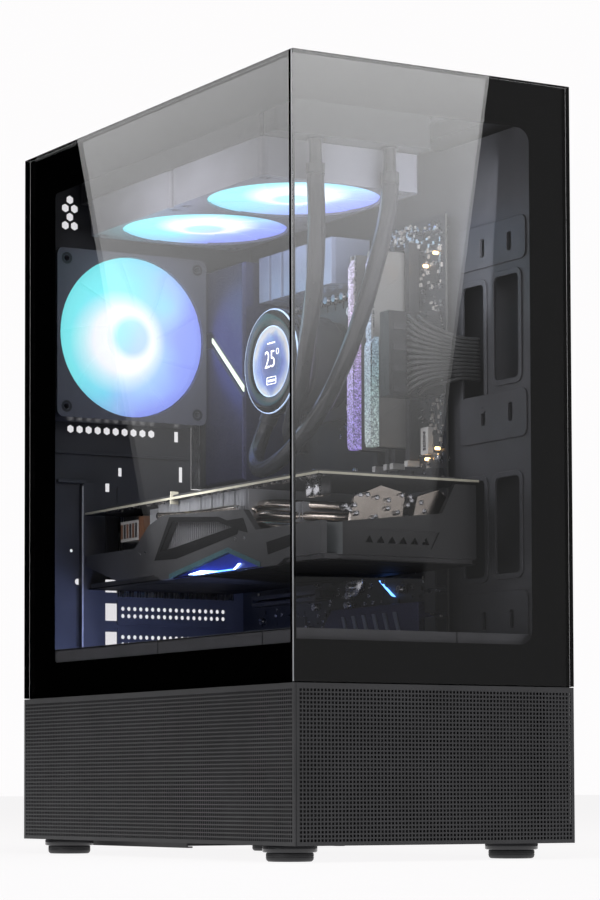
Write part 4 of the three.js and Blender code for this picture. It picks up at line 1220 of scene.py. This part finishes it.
def reading():
    """A generic temperature on the screen, with a small empty label frame under it."""
    curve = bpy.data.curves.new("reading", "FONT")
    curve.body = "25°"
    curve.size = 17 * MM
    curve.align_x = "CENTER"
    curve.align_y = "CENTER"
    curve.extrude = 0.1 * MM
    curve.offset = -0.25 * MM
    source = bpy.data.objects.new("reading", curve)
    mesh = bpy.data.meshes.new_from_object(source)
    bpy.data.objects.remove(source)
    place = Matrix.Translation((11.6 * MM, (PUMP[1] - 1) * MM, (PUMP[2] + 1) * MM))
    mesh.transform(place @ Matrix.Rotation(-math.pi / 2, 4, "Z") @ Matrix.Rotation(math.pi / 2, 4, "X")
                   @ Matrix.Diagonal((0.86, 1.0, 1.0, 1.0)))
    mesh.materials.clear()
    mesh.materials.append(DIGIT_LIGHT)
    digits = bpy.data.objects.new("pump_display_reading", mesh)
    bpy.context.scene.collection.objects.link(digits)
    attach(digits, CASE)
    _, y, z = PUMP
    x = (11.5, 11.7)
    label = z - 13.2
    marks = Shape()
    marks.sheet("x", rounded(around(y, 6.2), around(label, 2.6), 0.8, 3),
                [rounded(around(y, 5.8), around(label, 2.2), 0.6, 3)], x)
    for k in range(5):
        marks.box(x, around(y - 3.6 + 1.8 * k, 0.55), around(label, 0.8))
        marks.box(x, around(y - 4.4 + 2.2 * k, 0.6), around(z + 12.6, 0.45))
    piece("pump_display_marks", marks, CASE, [DIGIT_LIGHT])


reading()


# ---------------- boards


# the numbers of the main board's finishes
SOLDER_MASK, CUT_EDGE, SHELL, TIN, RESIN, CERAMIC_PART, PALE, LAMP, BLUE_STRIP = range(9)


def scatter(shape, draw, count, y, z, face, kinds, height):
    """Small parts strewn over the board's front face, which looks towards -X."""
    for _ in range(count):
        cy = draw.uniform(*y)
        cz = draw.uniform(*z)
        finish = draw.choice(kinds)
        size = draw.choice(((0.5, 0.9), (0.9, 0.5), (0.8, 1.4), (1.4, 0.8), (1.2, 1.2)))
        shape.box((face - draw.uniform(*height), face), around(cy, size[0]), around(cz, size[1]), finish)


def pin_header(shape, face, y, z, across, up, closed=False):
    """Rows of pins on a low black base, or a closed black socket."""
    step = 2.54
    base_y = around(y + (across - 1) * step / 2, across * step / 2)
    base_z = around(z + (up - 1) * step / 2, up * step / 2)
    if closed:
        shape.box((face - 9, face), grown(base_y, 1), grown(base_z, 1), SHELL)
        return
    shape.box((face - 2.4, face), base_y, base_z, SHELL)
    for i in range(across):
        for j in range(up):
            shape.box((face - 8.5, face - 2), around(y + i * step, 0.32), around(z + j * step, 0.32), TIN)


def motherboard():
    """The main board and what is soldered to it."""
    (_, back), y, z = sides("motherboard")
    face = 73.0
    draw = random.Random(11)
    shape = Shape()
    shape.box((face, back), y, z, SOLDER_MASK)
    shape.box((face + 0.1, back - 0.1), (y[0] - LIFT, y[0] + 0.3), z, CUT_EDGE)
    for slot_z, armour in ((240, TIN), (179.04, SHELL), (148.56, SHELL)):
        groove = rectangle((59.4, 145.6), around(slot_z, 1.0))
        shape.sheet("x", rectangle((58, 147), around(slot_z, 3.6)), [groove], (face - 11, face), armour)
        shape.box((face - 11.3, face), (51, 57), around(slot_z, 2.2), SHELL)
    shape.sheet("x", rounded(around(PUMP[1], 26), around(PUMP[2], 26), 2, 2), [], (face - 4.4, face), TIN)
    for slot_y in (-56, -38, -30, -16):
        shape.box((face - 8, face), around(slot_y, 2.4), (262, 408), SHELL)
        shape.box((face - 9.5, face), around(slot_y, 2.0), (258, 262), PALE)
    ways = [rectangle(around(-83 + 5 * a, 1.7), around(306.5 + 4.25 * b, 1.6))
            for a in (0, 1) for b in range(12)]
    shape.sheet("x", rectangle((-86, -75), (302, 358)), ways, (face - 12, face), SHELL)
    for row in range(8):
        shape.prism("x", rounded(around(10 + 10.5 * row, 4.4), (366, 380), 1, 2), (face - 7, face), RESIN)
        shape.rod("x", 14 + 10.5 * row, 384, 2.6, (face - 10, face), TIN, 16)
    for row in range(7):
        shape.prism("x", rounded((84, 95), around(286 + 11 * row, 4.4), 1, 2), (face - 7, face), RESIN)
    for _ in range(22):
        cy, cz = draw.uniform(-84, 150), draw.uniform(124, 228)
        shape.rod("x", cy, cz, 2.6, (face - draw.uniform(4, 8), face), TIN, 14)
        shape.rod("x", cy, cz, 2.9, (face - 1.2, face), SHELL, 14)
    for cy, cz, a, b in ((-66, 282, 5, 5), (-70, 246, 7, 7), (96, 160, 8, 6), (80, 132, 6, 4),
                         (-60, 214, 9, 5), (-78, 188, 4, 6), (58, 214, 5, 5), (140, 128, 6, 6),
                         (-78, 384, 4, 6), (-60, 412, 6, 3)):
        shape.prism("x", rounded(around(cy, a), around(cz, b), 0.4, 1), (face - 1.4, face), RESIN)
        for k in range(-int(a / 0.9), int(a / 0.9) + 1):
            shape.box((face - 0.7, face), around(cy + 0.85 * k, 0.2), around(cz, b + 0.7), TIN)
    shape.box((face - 3.5, face), (-52, 48), around(218, 11.5), SOLDER_MASK)
    for k in range(4):
        chip = rounded(around(-38 + 22 * k, 8), around(218, 7), 0.4, 1)
        shape.prism("x", chip, (face - 4.6, face - 3.4), RESIN)
    shape.lathe("x", 20, 186, [(10, face), (10, face - 3), (9.5, face - 3.4), (0.1, face - 3.5)], TIN, 32)
    for k in range(3):
        shape.box((face - 9, face), (-89.5, -77), around(150 + 16 * k, 6.5), SHELL)
        shape.box((face - 8, face - 1), (-90 - LIFT, -89.4), around(150 + 16 * k, 5.2), RESIN)
    pin_header(shape, face, -84, 232, 2, 9, closed=True)
    pin_header(shape, face, 118, 408, 4, 2, closed=True)
    for header in ((-40, 120.5, 8, 2), (-10, 120.5, 5, 2), (14, 120.5, 5, 2), (40, 120.5, 9, 2),
                   (84, 120.5, 9, 1), (-84, 412, 4, 1), (-66, 414, 4, 1)):
        pin_header(shape, face, *header)
    mostly_resin = (TIN, RESIN, CERAMIC_PART, RESIN, TIN)
    for count, across, up, kinds, tallest in (
        (420, (-87, -60), (120, 420), (TIN, RESIN, CERAMIC_PART, CERAMIC_PART, TIN), 1.6),
        (420, (-60, 160), (120, 262), mostly_resin, 1.6),
        (160, (-10, 100), (286, 384), mostly_resin, 1.6),
        (110, (-60, -12), (405, 421), (TIN, CERAMIC_PART, PALE, TIN), 2.4),
    ):
        scatter(shape, draw, count, across, up, face, kinds, (0.5, tallest))
    for cy, cz, a, b in ((-72, 349, 2.6, 4.5), (-81, 352, 2.6, 5), (-84, 334, 2, 3), (-70, 274, 4.5, 9)):
        shape.prism("x", rounded(around(cy, a), around(cz, b), 0.8, 2), (face - 4, face), PALE)
        shape.box((face - 4.2, face - 4), around(cy, a * 0.35), around(cz, b * 0.7), TIN)
    for k in range(14):
        shape.box((face - 1.6, face), around(-86 + 0.2 * (k % 3), 0.7), around(270 + 10.5 * k, 1.6), TIN)
    for cy, cz in ((-81, 398), (-69, 391), (-82, 268), (-70, 262)):
        shape.rod("x", cy, cz, 1.1, (face - 3.2, face), LAMP, 10)
    screw = [(3.4, face), (3.2, face - 1.4), (2.2, face - 2.2), (0.1, face - 2.3)]
    for place in STANDOFFS:
        shape.lathe("x", *place, screw, TIN, 16)
    shape.prism("x", [(-9, 185.2), (-11, 184), (-28, 173.2), (-25, 174)], (face - 1.6, face), BLUE_STRIP)
    piece("motherboard_populated", shape, CASE,
          [BOARD, BOARD_SIDE, CONNECTOR, TINNED, CHIP, CERAMIC, PALE_PLASTIC, WARM_LIGHT, BLUE_LIGHT],
          ["motherboard"])  # in the order of the finish numbers above


motherboard()


def port_cover():
    """A faceted cover over the rear sockets, split by a slanted strip of light."""
    (x, right), y, z = sides("port_cover")
    shape = Shape()
    shape.prism("z", [(x + 2, y[0] + 0.4), (x + 3, y[0]), (right, y[0]), (right, y[1]), (x + 2, y[1])], z, 0)
    near, far = y[0] + 0.6, y[1] - 9
    upper = [(y[1], z[1]), (y[0], z[1]), (y[0], 333), (far, 373), (y[1], 373)]
    lower = [(y[1], 363), (far, 363), (y[0], 322), (y[0], z[0]), (y[1], z[0])]
    shape.prism("x", upper, (x + 2, x + 0.1), 0, 0.97)
    shape.prism("x", lower, (x + 2, x + 0.1), 0, 0.97)
    shape.prism("x", [(far, 366), (near, 325), (near, 329.5), (far, 369.5)], (x + 2, x + 0.6), 1)
    for k in range(4):
        shape.box((x + 4.8, x + 6.2), (y[0] + 1, y[0] + 7.6), (276 + 9 * k, 280 + 9 * k), 2)
    finishes = [ARMOUR, STRIP_LIGHT, CARD_BLACK_AND_SHADE]
    piece("port_cover_faceted", shape, CASE, finishes, ["port_cover"], 0.5)


port_cover()


def regulator_heatsink():
    """A finned block over the voltage regulator."""
    x, y, z = sides("regulator_heatsink")
    shape = Shape()
    fins = 6
    step = (y[1] - y[0]) / fins
    for k in range(fins):
        start = y[0] + k * step
        end = start + step - 2.4
        outline = [(x[0], start + 0.8), (x[0] + 3, start), (56, start), (56, end), (x[0], end)]
        shape.prism("z", outline, z)
    shape.box((55, x[1]), y, z)
    node = "regulator_heatsink"
    piece(node + "_finned", shape, CASE, [HEATSINK_BLUE], [node], 0.4)


def chipset_heatsink():
    """A low cover with slanted grooves."""
    x, y, z = sides("chipset_heatsink")
    outline = [(y[0], z[0] + 8), (y[0] + 8, z[0]), (y[1], z[0]), (y[1], z[1] - 10), (y[1] - 10, z[1]),
               (y[0], z[1])]
    shape = Shape()
    shape.prism("x", outline, (x[1], x[0] + 1), 0, 0.97)
    low, high = grown(z, -6)
    for k in range(6):
        start = y[0] + 16 + 13 * k
        shape.prism("x", [(start, low), (start + 4, low), (start + 16, high), (start + 12, high)],
                    (x[0] + 1.2, x[0] + 0.1), 1)
    finishes = [ARMOUR, HEATSINK_BLUE]
    piece("chipset_heatsink_grooved", shape, CASE, finishes, ["chipset_heatsink"], 0.4)


regulator_heatsink()
chipset_heatsink()


def memory_module(number, light):
    """A module with a metal spreader and a crystal light bar along its edge, slimmer in its upper half."""
    node = f"memory_module_{number}"
    (x, right), _, z = sides(node)
    y = middle(node)[1]
    step = z[0] + 74
    shape = Shape()
    shape.box((x + 8, right - 0.1), around(y, 0.65), grown(z, -0.2), 0)
    for part, half in (((z[0] + 1, step), 4.4), ((step - 3, z[1] - 4), 2.1)):
        start = len(shape.points)
        bar = [(x + 6.5, part[0]), (x + 1.4, part[0]), (x, part[0] + 3), (x, part[1] - 6), (x + 3, part[1]),
               (x + 6.5, part[1])]
        shape.prism("y", bar, around(y, half), 1)
        shape.turned(lambda p: (p[0], y + (p[1] - y) * (0.8 + 0.2 * min(1, (p[0] - x) / 3)), p[2]), start)
    for side in (-1, 1):
        wall = sorted((y + side * 1.8, y + side * 3.6))
        outline = [(x + 6.6, z[0] + 1), (x + 30, z[0] + 1), (x + 30, z[1] - 1), (x + 3, z[1] - 1),
                   (x + 2, step + 2)]
        shape.prism("y", outline, wall, 2)
        for k in range(4):
            ridge = z[0] + 20 + 28 * k
            outline = [(x + 9, ridge), (x + 28, ridge + 12), (x + 28, ridge + 14), (x + 9, ridge + 2)]
            shape.prism("y", outline, sorted((y + side * 3.5, y + side * 3.8)), 2)
        edge = sorted((y + side * 3.3, y + side * 3.75))
        shape.box((x + 0.6, x + 1.6), edge, (z[0] + 2, step - 4), 3)
        shape.box((x + 2.4, x + 3.4), edge, (step + 6, z[1] - 3), 3)
    for k in range(5):
        turn = step + 6 + 9 * k
        shape.prism("x", [(y - 3.4, turn), (y + 3.4, turn - 7), (y + 3.4, turn - 6), (y - 3.4, turn + 1)],
                    (x + 1.6, x + 2.4), 3)
    piece(node + "_lit", shape, CASE, [BOARD, light, SPREADER, TINNED], [node], 0.2)


SPREADER = coat("memory_spreader", (0.17, 0.165, 0.16), (0.23, 0.225, 0.215), 0.34, 0.5, 0.02, Metallic=0.3)
MEMORY_HEIGHT = sides("memory_module_1")[2]
VIOLET_STOPS = [(0.0, (0.4, 0.26, 1.0)), (0.35, (0.45, 0.28, 0.95)), (0.6, (0.8, 0.5, 0.9)),
                (0.85, (0.75, 0.62, 0.9))]
MINT_STOPS = [(0.0, (0.7, 0.9, 0.8)), (0.3, (0.4, 0.72, 0.68)), (0.55, (0.3, 0.6, 0.8)),
              (0.9, (0.5, 0.45, 0.95))]
memory_module(1, glitter_light("memory_light_violet", *MEMORY_HEIGHT, VIOLET_STOPS, 0.46))
memory_module(2, glitter_light("memory_light_mint", *MEMORY_HEIGHT, MINT_STOPS, 0.32))


def port_block():
    """Metal-shelled rear sockets in a plastic tower, facing the back of the case."""
    x, (front, back), z = sides("port_block")
    sockets = [(400, 14), (376, 6), (362, 6), (340, 6), (326, 6), (303, 14)]
    mouth = (38, 54)
    holes = [rectangle(mouth, around(level, height / 2)) for level, height in sockets]
    holes += [ring(62, 392 - 13 * k, 3.2, 16) for k in range(3)]
    holes += [rectangle((57, 68), around(330 - 26 * k, 8)) for k in range(2)]
    shape = Shape()
    shape.sheet("y", rectangle(x, z), holes, (back - 0.6, back))
    shape.box(x, (front, back - 13.5), z, 1)
    shape.sheet("y", rectangle(x, z), [rectangle(grown(x, -0.5), grown(z, -0.5))], (back - 13.5, back - 0.6))
    for level, height in sockets:
        shape.sheet("y", rectangle(grown(mouth, 0.4), around(level, height / 2 + 0.4)),
                    [rectangle(mouth, around(level, height / 2))], (back - 13, back - 0.6))
        tongue = level - height / 5
        shape.box((40, 52), (back - 12, back - 2), around(tongue, 0.9), 1)
        for k in range(4):
            shape.box(around(42 + 2.7 * k, 0.5), (back - 11, back - 3), around(tongue + 1, 0.15), 2)
    finishes = [NICKEL, CONNECTOR, GOLD_EDGE]
    piece("port_block_shelled", shape, CASE, finishes, ["port_block"])


port_block()


def board_cable():
    """The board's power plug and its two rows of sleeved wires, drawn together into the tray's window."""
    x, _, (low, high) = sides("board_power_cable")
    shape = Shape()
    shape.box((x[0], 60.4), (-86.4, -75.6), (low, high), 2)
    for b in range(4):
        shape.box((40, 58), (-75.6, -75.1), (low + 4 + 13 * b, low + 9 + 13 * b), 0)
        shape.box((34, 58), (-87.0, -86.4), (low + 3 + 13.6 * b, low + 7 + 13.6 * b), 0)
    rows = 12
    centre = (low + high) / 2
    for layer in range(2):
        start = 46 + 8 * layer
        for i in range(rows):
            z = low + 2.4 + (high - low - 4.8) * i / (rows - 1)
            drawn = centre - 3 + (z - centre) * (0.42 + 0.1 * layer)
            mean = (z + drawn) / 2
            route = [(start, -86, z), (start - 1, -91, z + (mean - z) * 0.3), (start + 3, -97 + layer, mean),
                     (start + 13, -102 + layer, drawn + (mean - drawn) * 0.4),
                     (76, -102.5 - 2 * layer, drawn), (89.5, -102 - 3 * layer, drawn)]
            shape.sweep(smooth_line(route, 3), 1.3, 1, 8)
    finishes = [CONNECTOR, WIRE, CHIP]
    piece("board_power_cable_combed", shape, CASE, finishes, ["board_power_cable"])


board_cable()


# ---------------- graphics card


def card_board():
    """The card's board with its pale edge, and the small parts that stand on both faces."""
    x, y, z = sides("card_board")
    draw = random.Random(5)
    shape = Shape()
    shape.box((x[0] + 0.3, x[1]), (y[0] + 0.3, y[1]), z, 0)
    shape.box((x[0], x[0] + 0.35), y, grown(z, -LIFT), 1)
    shape.box(x, (y[0], y[0] + 0.35), grown(z, -LIFT), 1)
    shape.box((x[0] + 0.2, x[0] + 6), (48, 49.2), (z[0] - 3, z[1] + 4), 1)
    for _ in range(120):
        cx, cy = draw.uniform(x[0] + 1, x[0] + 10), draw.uniform(y[0] + 2, 150)
        size = draw.uniform(0.5, 1.3)
        finish = draw.choice((2, 3, 4))
        shape.box(around(cx, size), around(cy, size * 0.7), (z[0] - draw.uniform(0.5, 1.1), z[0]), finish)
    screw = [(2.8, z[1]), (2.8, z[1] + 1.2), (2.0, z[1] + 2.0), (0.1, z[1] + 2.1)]
    for cy in (-132, -96, 52, 140):
        shape.lathe("z", x[0] + 5, cy, screw, 2, 16)
    finishes = [BOARD, GOLD_EDGE, TINNED, CHIP, CERAMIC]
    piece("card_board_edged", shape, CASE, finishes, ["card_board"])


def card_backplate():
    """A stamped cover over the back of the card, with slots near its front end."""
    x, y, (low, high) = sides("card_backplate")
    u, v = (x[0] + 1, x[1] - 2), (y[0] + 4, y[1])
    holes = [rounded((-20 + 4.2 * i, -17.6 + 4.2 * i), (v[0] + 12, v[0] + 58), 1.1, 2) for i in range(14)]
    holes += [ring(cu, cv, 2, 12) for cu in (-50, 48) for cv in (-120, 0, 120)]
    shape = Shape()
    shape.sheet("z", rounded(u, v, 4, 3), holes, (low, high - 0.2))
    for start in range(-46, 27, 18):
        stripe = [(start, 10), (start + 4, 10), (start + 20, 90), (start + 16, 90)]
        shape.prism("z", stripe, (high - 0.2, high), 1)
    piece("card_backplate_stamped", shape, CASE, [CARD_PLASTIC, CARD_BLACK_AND_SHADE], ["card_backplate"])


def card_heatsink():
    """Stacks of thin fins with nickel heat pipes through them, a power socket and a cast front bracket."""
    x, _, z = sides("card_heatsink")
    draw = random.Random(9)
    shape = Shape()
    stacks = ((-44, 78, z[1], x[0]), (82, 98, z[1] - 2, x[0] + 4), (-92, -48, z[1] - 12, x[0] + 12))
    for start, end, top, left in stacks:
        count = int((end - start) / 1.9)
        for i in range(count):
            y = start + (end - start) * i / count
            inset = 0.0 if i % 8 else 1.2
            shape.box((left + inset, x[1]), around(y, 0.22), (z[0] + 0.5, top), 0)
    shape.box((x[0] + 14, x[1]), (-44, 78), (z[0] + 1, z[0] + 6), 1)
    for k, level in enumerate((z[0] + 10, z[0] + 17, z[0] + 24)):
        line = smooth_line([(x[0] + 5 + 3 * k, -40, level), (x[0] + 5 + 3 * k, -60, level - 0.5),
                            (x[0] + 9 + 4 * k, -84, level - 3), (x[0] + 18 + 6 * k, -104, level - 5),
                            (x[0] + 40, -118 + 3 * k, level - 6), (x[1] - 12, -122 + 4 * k, level - 6)], 3)
        shape.sweep(line, 3.0, 1, 14)
    for k in range(2):
        near, top = x[0] + 3 * k, z[1] - 7 * k
        line = smooth_line([(near + 1.5, 78, top - 8), (near + 2, 60, top - 9), (near + 1.5, 20, top - 11),
                            (near + 1.5, -30, top - 12), (x[0] + 8, -46, top - 14)], 3)
        shape.sweep(line, 2.8, 1, 14)
    base, top = z[0] + 1, z[1]
    left_plate = [(-30, base), (8, base), (12, top - 8), (-6, top - 4), (-26, top - 12)]
    right_plate = [(14, base), (50, base), (48, top - 14), (36, top - 5), (20, top - 10)]
    shape.prism("y", left_plate, (-134, -131), 1)
    shape.prism("y", right_plate, (-136, -130), 1)
    for _ in range(26):
        cx, cz = draw.uniform(-34, 50), draw.uniform(z[0] + 6, z[1] - 8)
        shape.lathe("y", cx, cz, [(1.7, -130), (1.7, -136.6), (1.2, -137.2), (0.1, -137.3)], 2, 10)
    shape.box((x[0] + 1, x[0] + 26), (108, 134), (z[1] - 22, z[1] - 8), 3)
    shape.box((x[0] + 1, x[0] + 26), (100, 107), (z[1] - 24, z[1] - 6), 4)
    for k in range(38):
        shape.box((x[0] - 1.0, x[0] + 3), around(66 - 2.9 * k, 0.6), (z[0] - 0.4, z[1] - 11), 6)
    for k in range(6):
        key = (x[0] + 0.6, x[0] + 1.1)
        shape.box(key, around(111 + 4.2 * k, 1.2), (z[1] - 20, z[1] - 10), 4 if k % 2 else 5)
    shape.box((x[0] + 20, x[1]), (140, 166), (z[0] + 0.5, z[1] - 1), 5)
    for k in range(3):
        shape.rod("z", x[0] + 9, -128 + 9 * k, 3.4, (z[1] - 11, z[1]), 2 if k else 5, 18)
    piece("card_heatsink_finned", shape, CASE,
          [ALUMINIUM, WARM_METAL, TINNED, PALE_PLASTIC, BROWN_PLASTIC, CONNECTOR, SILVER], ["card_heatsink"])


def card_shroud():
    """The card's faceted cover.

    It has a fan plate, a side skirt with a framed window and a lit notch, and a front end with vents.
    """
    (x0, x1), (front, back), (base, _) = sides("card_shroud")
    centres = [middle(f"card_fan_{number}")[:2] for number in CARD_FANS]
    shape = Shape()
    holes = [ring(*centre, 45, 56) for centre in centres]
    shape.sheet("z", rounded((x0 + 3, x1), (front + 3, back), 2, 2), holes, (base + 1.2, base + 4.5))
    for centre in centres:
        shape.sheet("z", ring(*centre, 46.6, 56), [ring(*centre, 43.8, 56)], (base + 0.2, 203.9), 1)
    window = [(63, 205), (46, 224), (-17, 219), (-36, 214), (42, 206.5)]
    outline = [(front, base + 4), (-103, base + 4), (-93, base + 0.2), *NOTCH, (62, base + 0.2),
               (72, base + 4), (SKIRT_CHAMFER, base + 4), (back, base + 17), (back, 210), (100, 210),
               (80, 224), (60, 229.5), (-50, 224.5), (-66, 210), (front, 210)]
    shape.sheet("x", outline, [window], (x0, x0 + 4.5), 0)
    surround = [(71, 199.5), (49.5, 227.6), (-18, 222.3), (-46, 214), (-42, 209), (40, 198.6)]
    shape.sheet("x", surround, [window], (x0 - 0.25, x0 + 0.6), 1)
    # painted shade: two flat near-black patches laid on the skirt stand in for the shade in its recesses
    for shade_patch in ([(-56, 209), (-50, 219), (-26, 219), (-46, 211)],
                   [(-116, 197), (-82, 193), (-80, 201), (-112, 204)]):
        shape.prism("x", shade_patch, (x0 + 0.02, x0 - 0.3), 1)
    rise = 3.2
    for start, end in zip(NOTCH, NOTCH[1:]):
        edge = [start, end, (end[0], end[1] + rise), (start[0], start[1] + rise)]
        shape.prism("x", edge, (x0 + 4.5, x0 - 0.3), 2)
    for y in (-52, -40, 84, 92):
        shape.rod("x", y, 206, 1.1, (x0 - 0.35, x0 + 1), 3, 12)
    facet = x0 + 16.0
    end_outline = [(facet, base + 4), (x1, base + 4), (x1, 237), (42, 237), (32, 218), (facet, 210)]
    vents = [[(-25 + 8.4 * k, 197.5), (-19 + 8.4 * k, 197.5), (-21.5 + 8.4 * k, 202)] for k in range(6)]
    panel = [(-30, 195), (24, 195), (30, 206), (-24, 206)]
    shape.sheet("y", end_outline, vents, (front + 1.0, front + 4), 5)
    shape.sheet("y", end_outline, [panel], (front + 0.1, front + 1.05), 5)
    corner = [(x0, front + 20), (facet, front + 0.1), (facet, front + 4), (x0 + 4.5, front + 22)]
    shape.prism("z", corner, (base + 4, 209.5), 4)
    underside = [(x0 + 2, front + 21), (facet, front + 1), (x1, front + 1), (x1, back), (x0 + 2, back)]
    shape.prism("z", underside, (base + 0.4, base + 1.2), 1)
    finishes = [CARD_PLASTIC, CARD_BLACK_AND_SHADE, CARD_TEAL, TINNED, CARD_FACET, CARD_END]
    piece("card_shroud_faceted", shape, CASE, finishes, ["card_shroud"], 0.35)


def card_lamps():
    """The blue lamp in the notch, with two pale marks in front of it and a dim blue glow painted on the plate
    behind, in place of the lamp's light falling in the notch.
    """
    (x0, _), _, (base, _) = sides("card_shroud")
    slash = [(-34, base + 1), (-36, base + 1), (-43, base + 4.6), (-41, base + 4.6)]
    streak = [(26, base + 1.6), (10, base + 0.6), (-14, base + 1.4), (9, base + 3.2)]
    lamps = Shape()
    lamps.box((x0 + 1.6, x0 + 2.6), (-36, 20), (base + 0.8, base + 1.7), 0)
    lamps.prism("x", slash, (x0 + 1.4, x0 + 2.2), 1)
    lamps.prism("x", streak, (x0 + 1.2, x0 + 2), 1)
    # painted glow on the notch plate behind the lamp
    lamps.prism("x", NOTCH, (x0 + 2.7, x0 + 2.9), 2)
    piece("card_lamps", lamps, CASE, [BLUE_LIGHT, PALE_LIGHT, NOTCH_PAINTED_GLOW])


CARD_FANS = (1, 2, 3)
SKIRT_CHAMFER = 128
NOTCH_LOW = sides("card_shroud")[2][0] + 0.2
NOTCH = [(-72, NOTCH_LOW), (-30, 198), (50, NOTCH_LOW)]
CARD_END = coat("card_end_cover", grey(0.013, 1.05), grey(0.02, 1.05), 0.38, 0.4, 0.01)
CARD_FACET = coat("card_light_facet", (0.06, 0.067, 0.07), (0.08, 0.087, 0.09), 0.34, 0.4, 0.02)
card_board()
card_backplate()
card_heatsink()
card_shroud()
card_lamps()
for number in CARD_FANS:
    fan_rotor(f"card_fan_{number}", "z", CARD_BLACK_AND_SHADE, "card_plastic", **CARD_FAN, cap=PLASTIC)


# ---------------- power supply and drives


def power_supply():
    """A folded case with a wire fan guard below and a honeycomb grille behind."""
    x, y, z = sides("psu_case")
    fan = middle("psu_fan")[:2]
    switch, inlet = middle("psu_switch"), middle("psu_inlet")
    skin = 1.0
    shape = Shape()
    shape.sheet("z", rectangle(x, y), [ring(*fan, 60, 64)], (z[0], z[0] + skin), 0)
    shape.sheet("z", rectangle(x, y), [], (z[1] - skin, z[1]), 0)
    for wall in ((x[0], x[0] + skin), (x[1] - skin, x[1])):
        shape.box(wall, y, z, 0)
    shape.box(x, (y[0], y[0] + skin), z, 0)
    holes = [rectangle(around(switch[0], 11), around(switch[2], 8)),
             rectangle(around(inlet[0], 15), around(inlet[2], 12))]
    holes += honeycomb((x[0] + 9, 30), (z[0] + 8, z[1] - 8), 6.4, 3.0)
    shape.sheet("y", rectangle(x, z), holes, (y[1] - skin, y[1]), 0)
    for k in range(7):
        radius = 12 + 8 * k
        angles = [2 * math.pi * i / 48 for i in range(49)]
        circle = [(fan[0] + radius * math.cos(a), fan[1] + radius * math.sin(a), z[0] + 0.9) for a in angles]
        shape.sweep(circle, 0.75, 1, 6)
    for k in range(4):
        angle = math.pi / 4 + k * math.pi / 2
        ends = [(fan[0] + r * math.cos(angle), fan[1] + r * math.sin(angle), z[0] + 2.1) for r in (8, 66)]
        shape.sweep(ends, 1.1, 1, 8)
    shape.rod("z", fan[0], fan[1], 11, (z[0] + 0.3, z[0] + 1.4), 0, 40)
    shape.box((x[0] + 12, x[1] - 12), (y[0] + 2, y[1] - 24), (48, z[1] - 4), 2)
    piece("psu_case_folded", shape, CASE, [SUPPLY, NICKEL, CHIP], ["psu_case"])


def hard_drive():
    """A cast drive with a pressed lid, a spindle boss, screws and its board below."""
    x, y, z = sides("hard_drive")
    centre = middle("hard_drive")[1]
    shape = Shape()
    shape.prism("z", rounded(x, y, 2, 2), (z[0] + 3, z[1] - 1.6), 0)
    shape.prism("z", rounded(grown(x, -2), (y[0] + 2, y[1] - 6), 6, 4), (z[1] - 1.6, z[1] - 0.4), 0, 0.99)
    shape.rod("z", 0, centre - 20, 30, (z[1] - 0.6, z[1]), 0, 48)
    shape.rod("z", 24, centre + 44, 12, (z[1] - 0.6, z[1] - 0.1), 0, 32)
    for cx in grown(x, -5):
        for cy in (y[0] + 6, centre, y[1] - 12):
            shape.rod("z", cx, cy, 2.2, (z[1] - 1, z[1] - 0.2), 2, 6)
    shape.box((x[0] + 4, x[1] - 4), (y[0] + 8, y[1]), (z[0], z[0] + 2.6), 1)
    shape.box((x[0] + 12, x[0] + 56), (y[1] - 7, y[1]), (z[0] + 1, z[0] + 6), 3)
    finishes = [DRIVE, BOARD, TINNED, CONNECTOR]
    piece("hard_drive_cast", shape, CASE, finishes, ["hard_drive"], 0.3)


power_supply()
hard_drive()
repaint(PLASTIC, "psu_inlet", bevel=0.4)
repaint(GLOSS, "psu_switch", bevel=0.5)
fan_rotor("psu_fan", "z", PLASTIC, "black_plastic", **SUPPLY_FAN)
repaint(STEEL, "drive_cage", bevel=0.3)
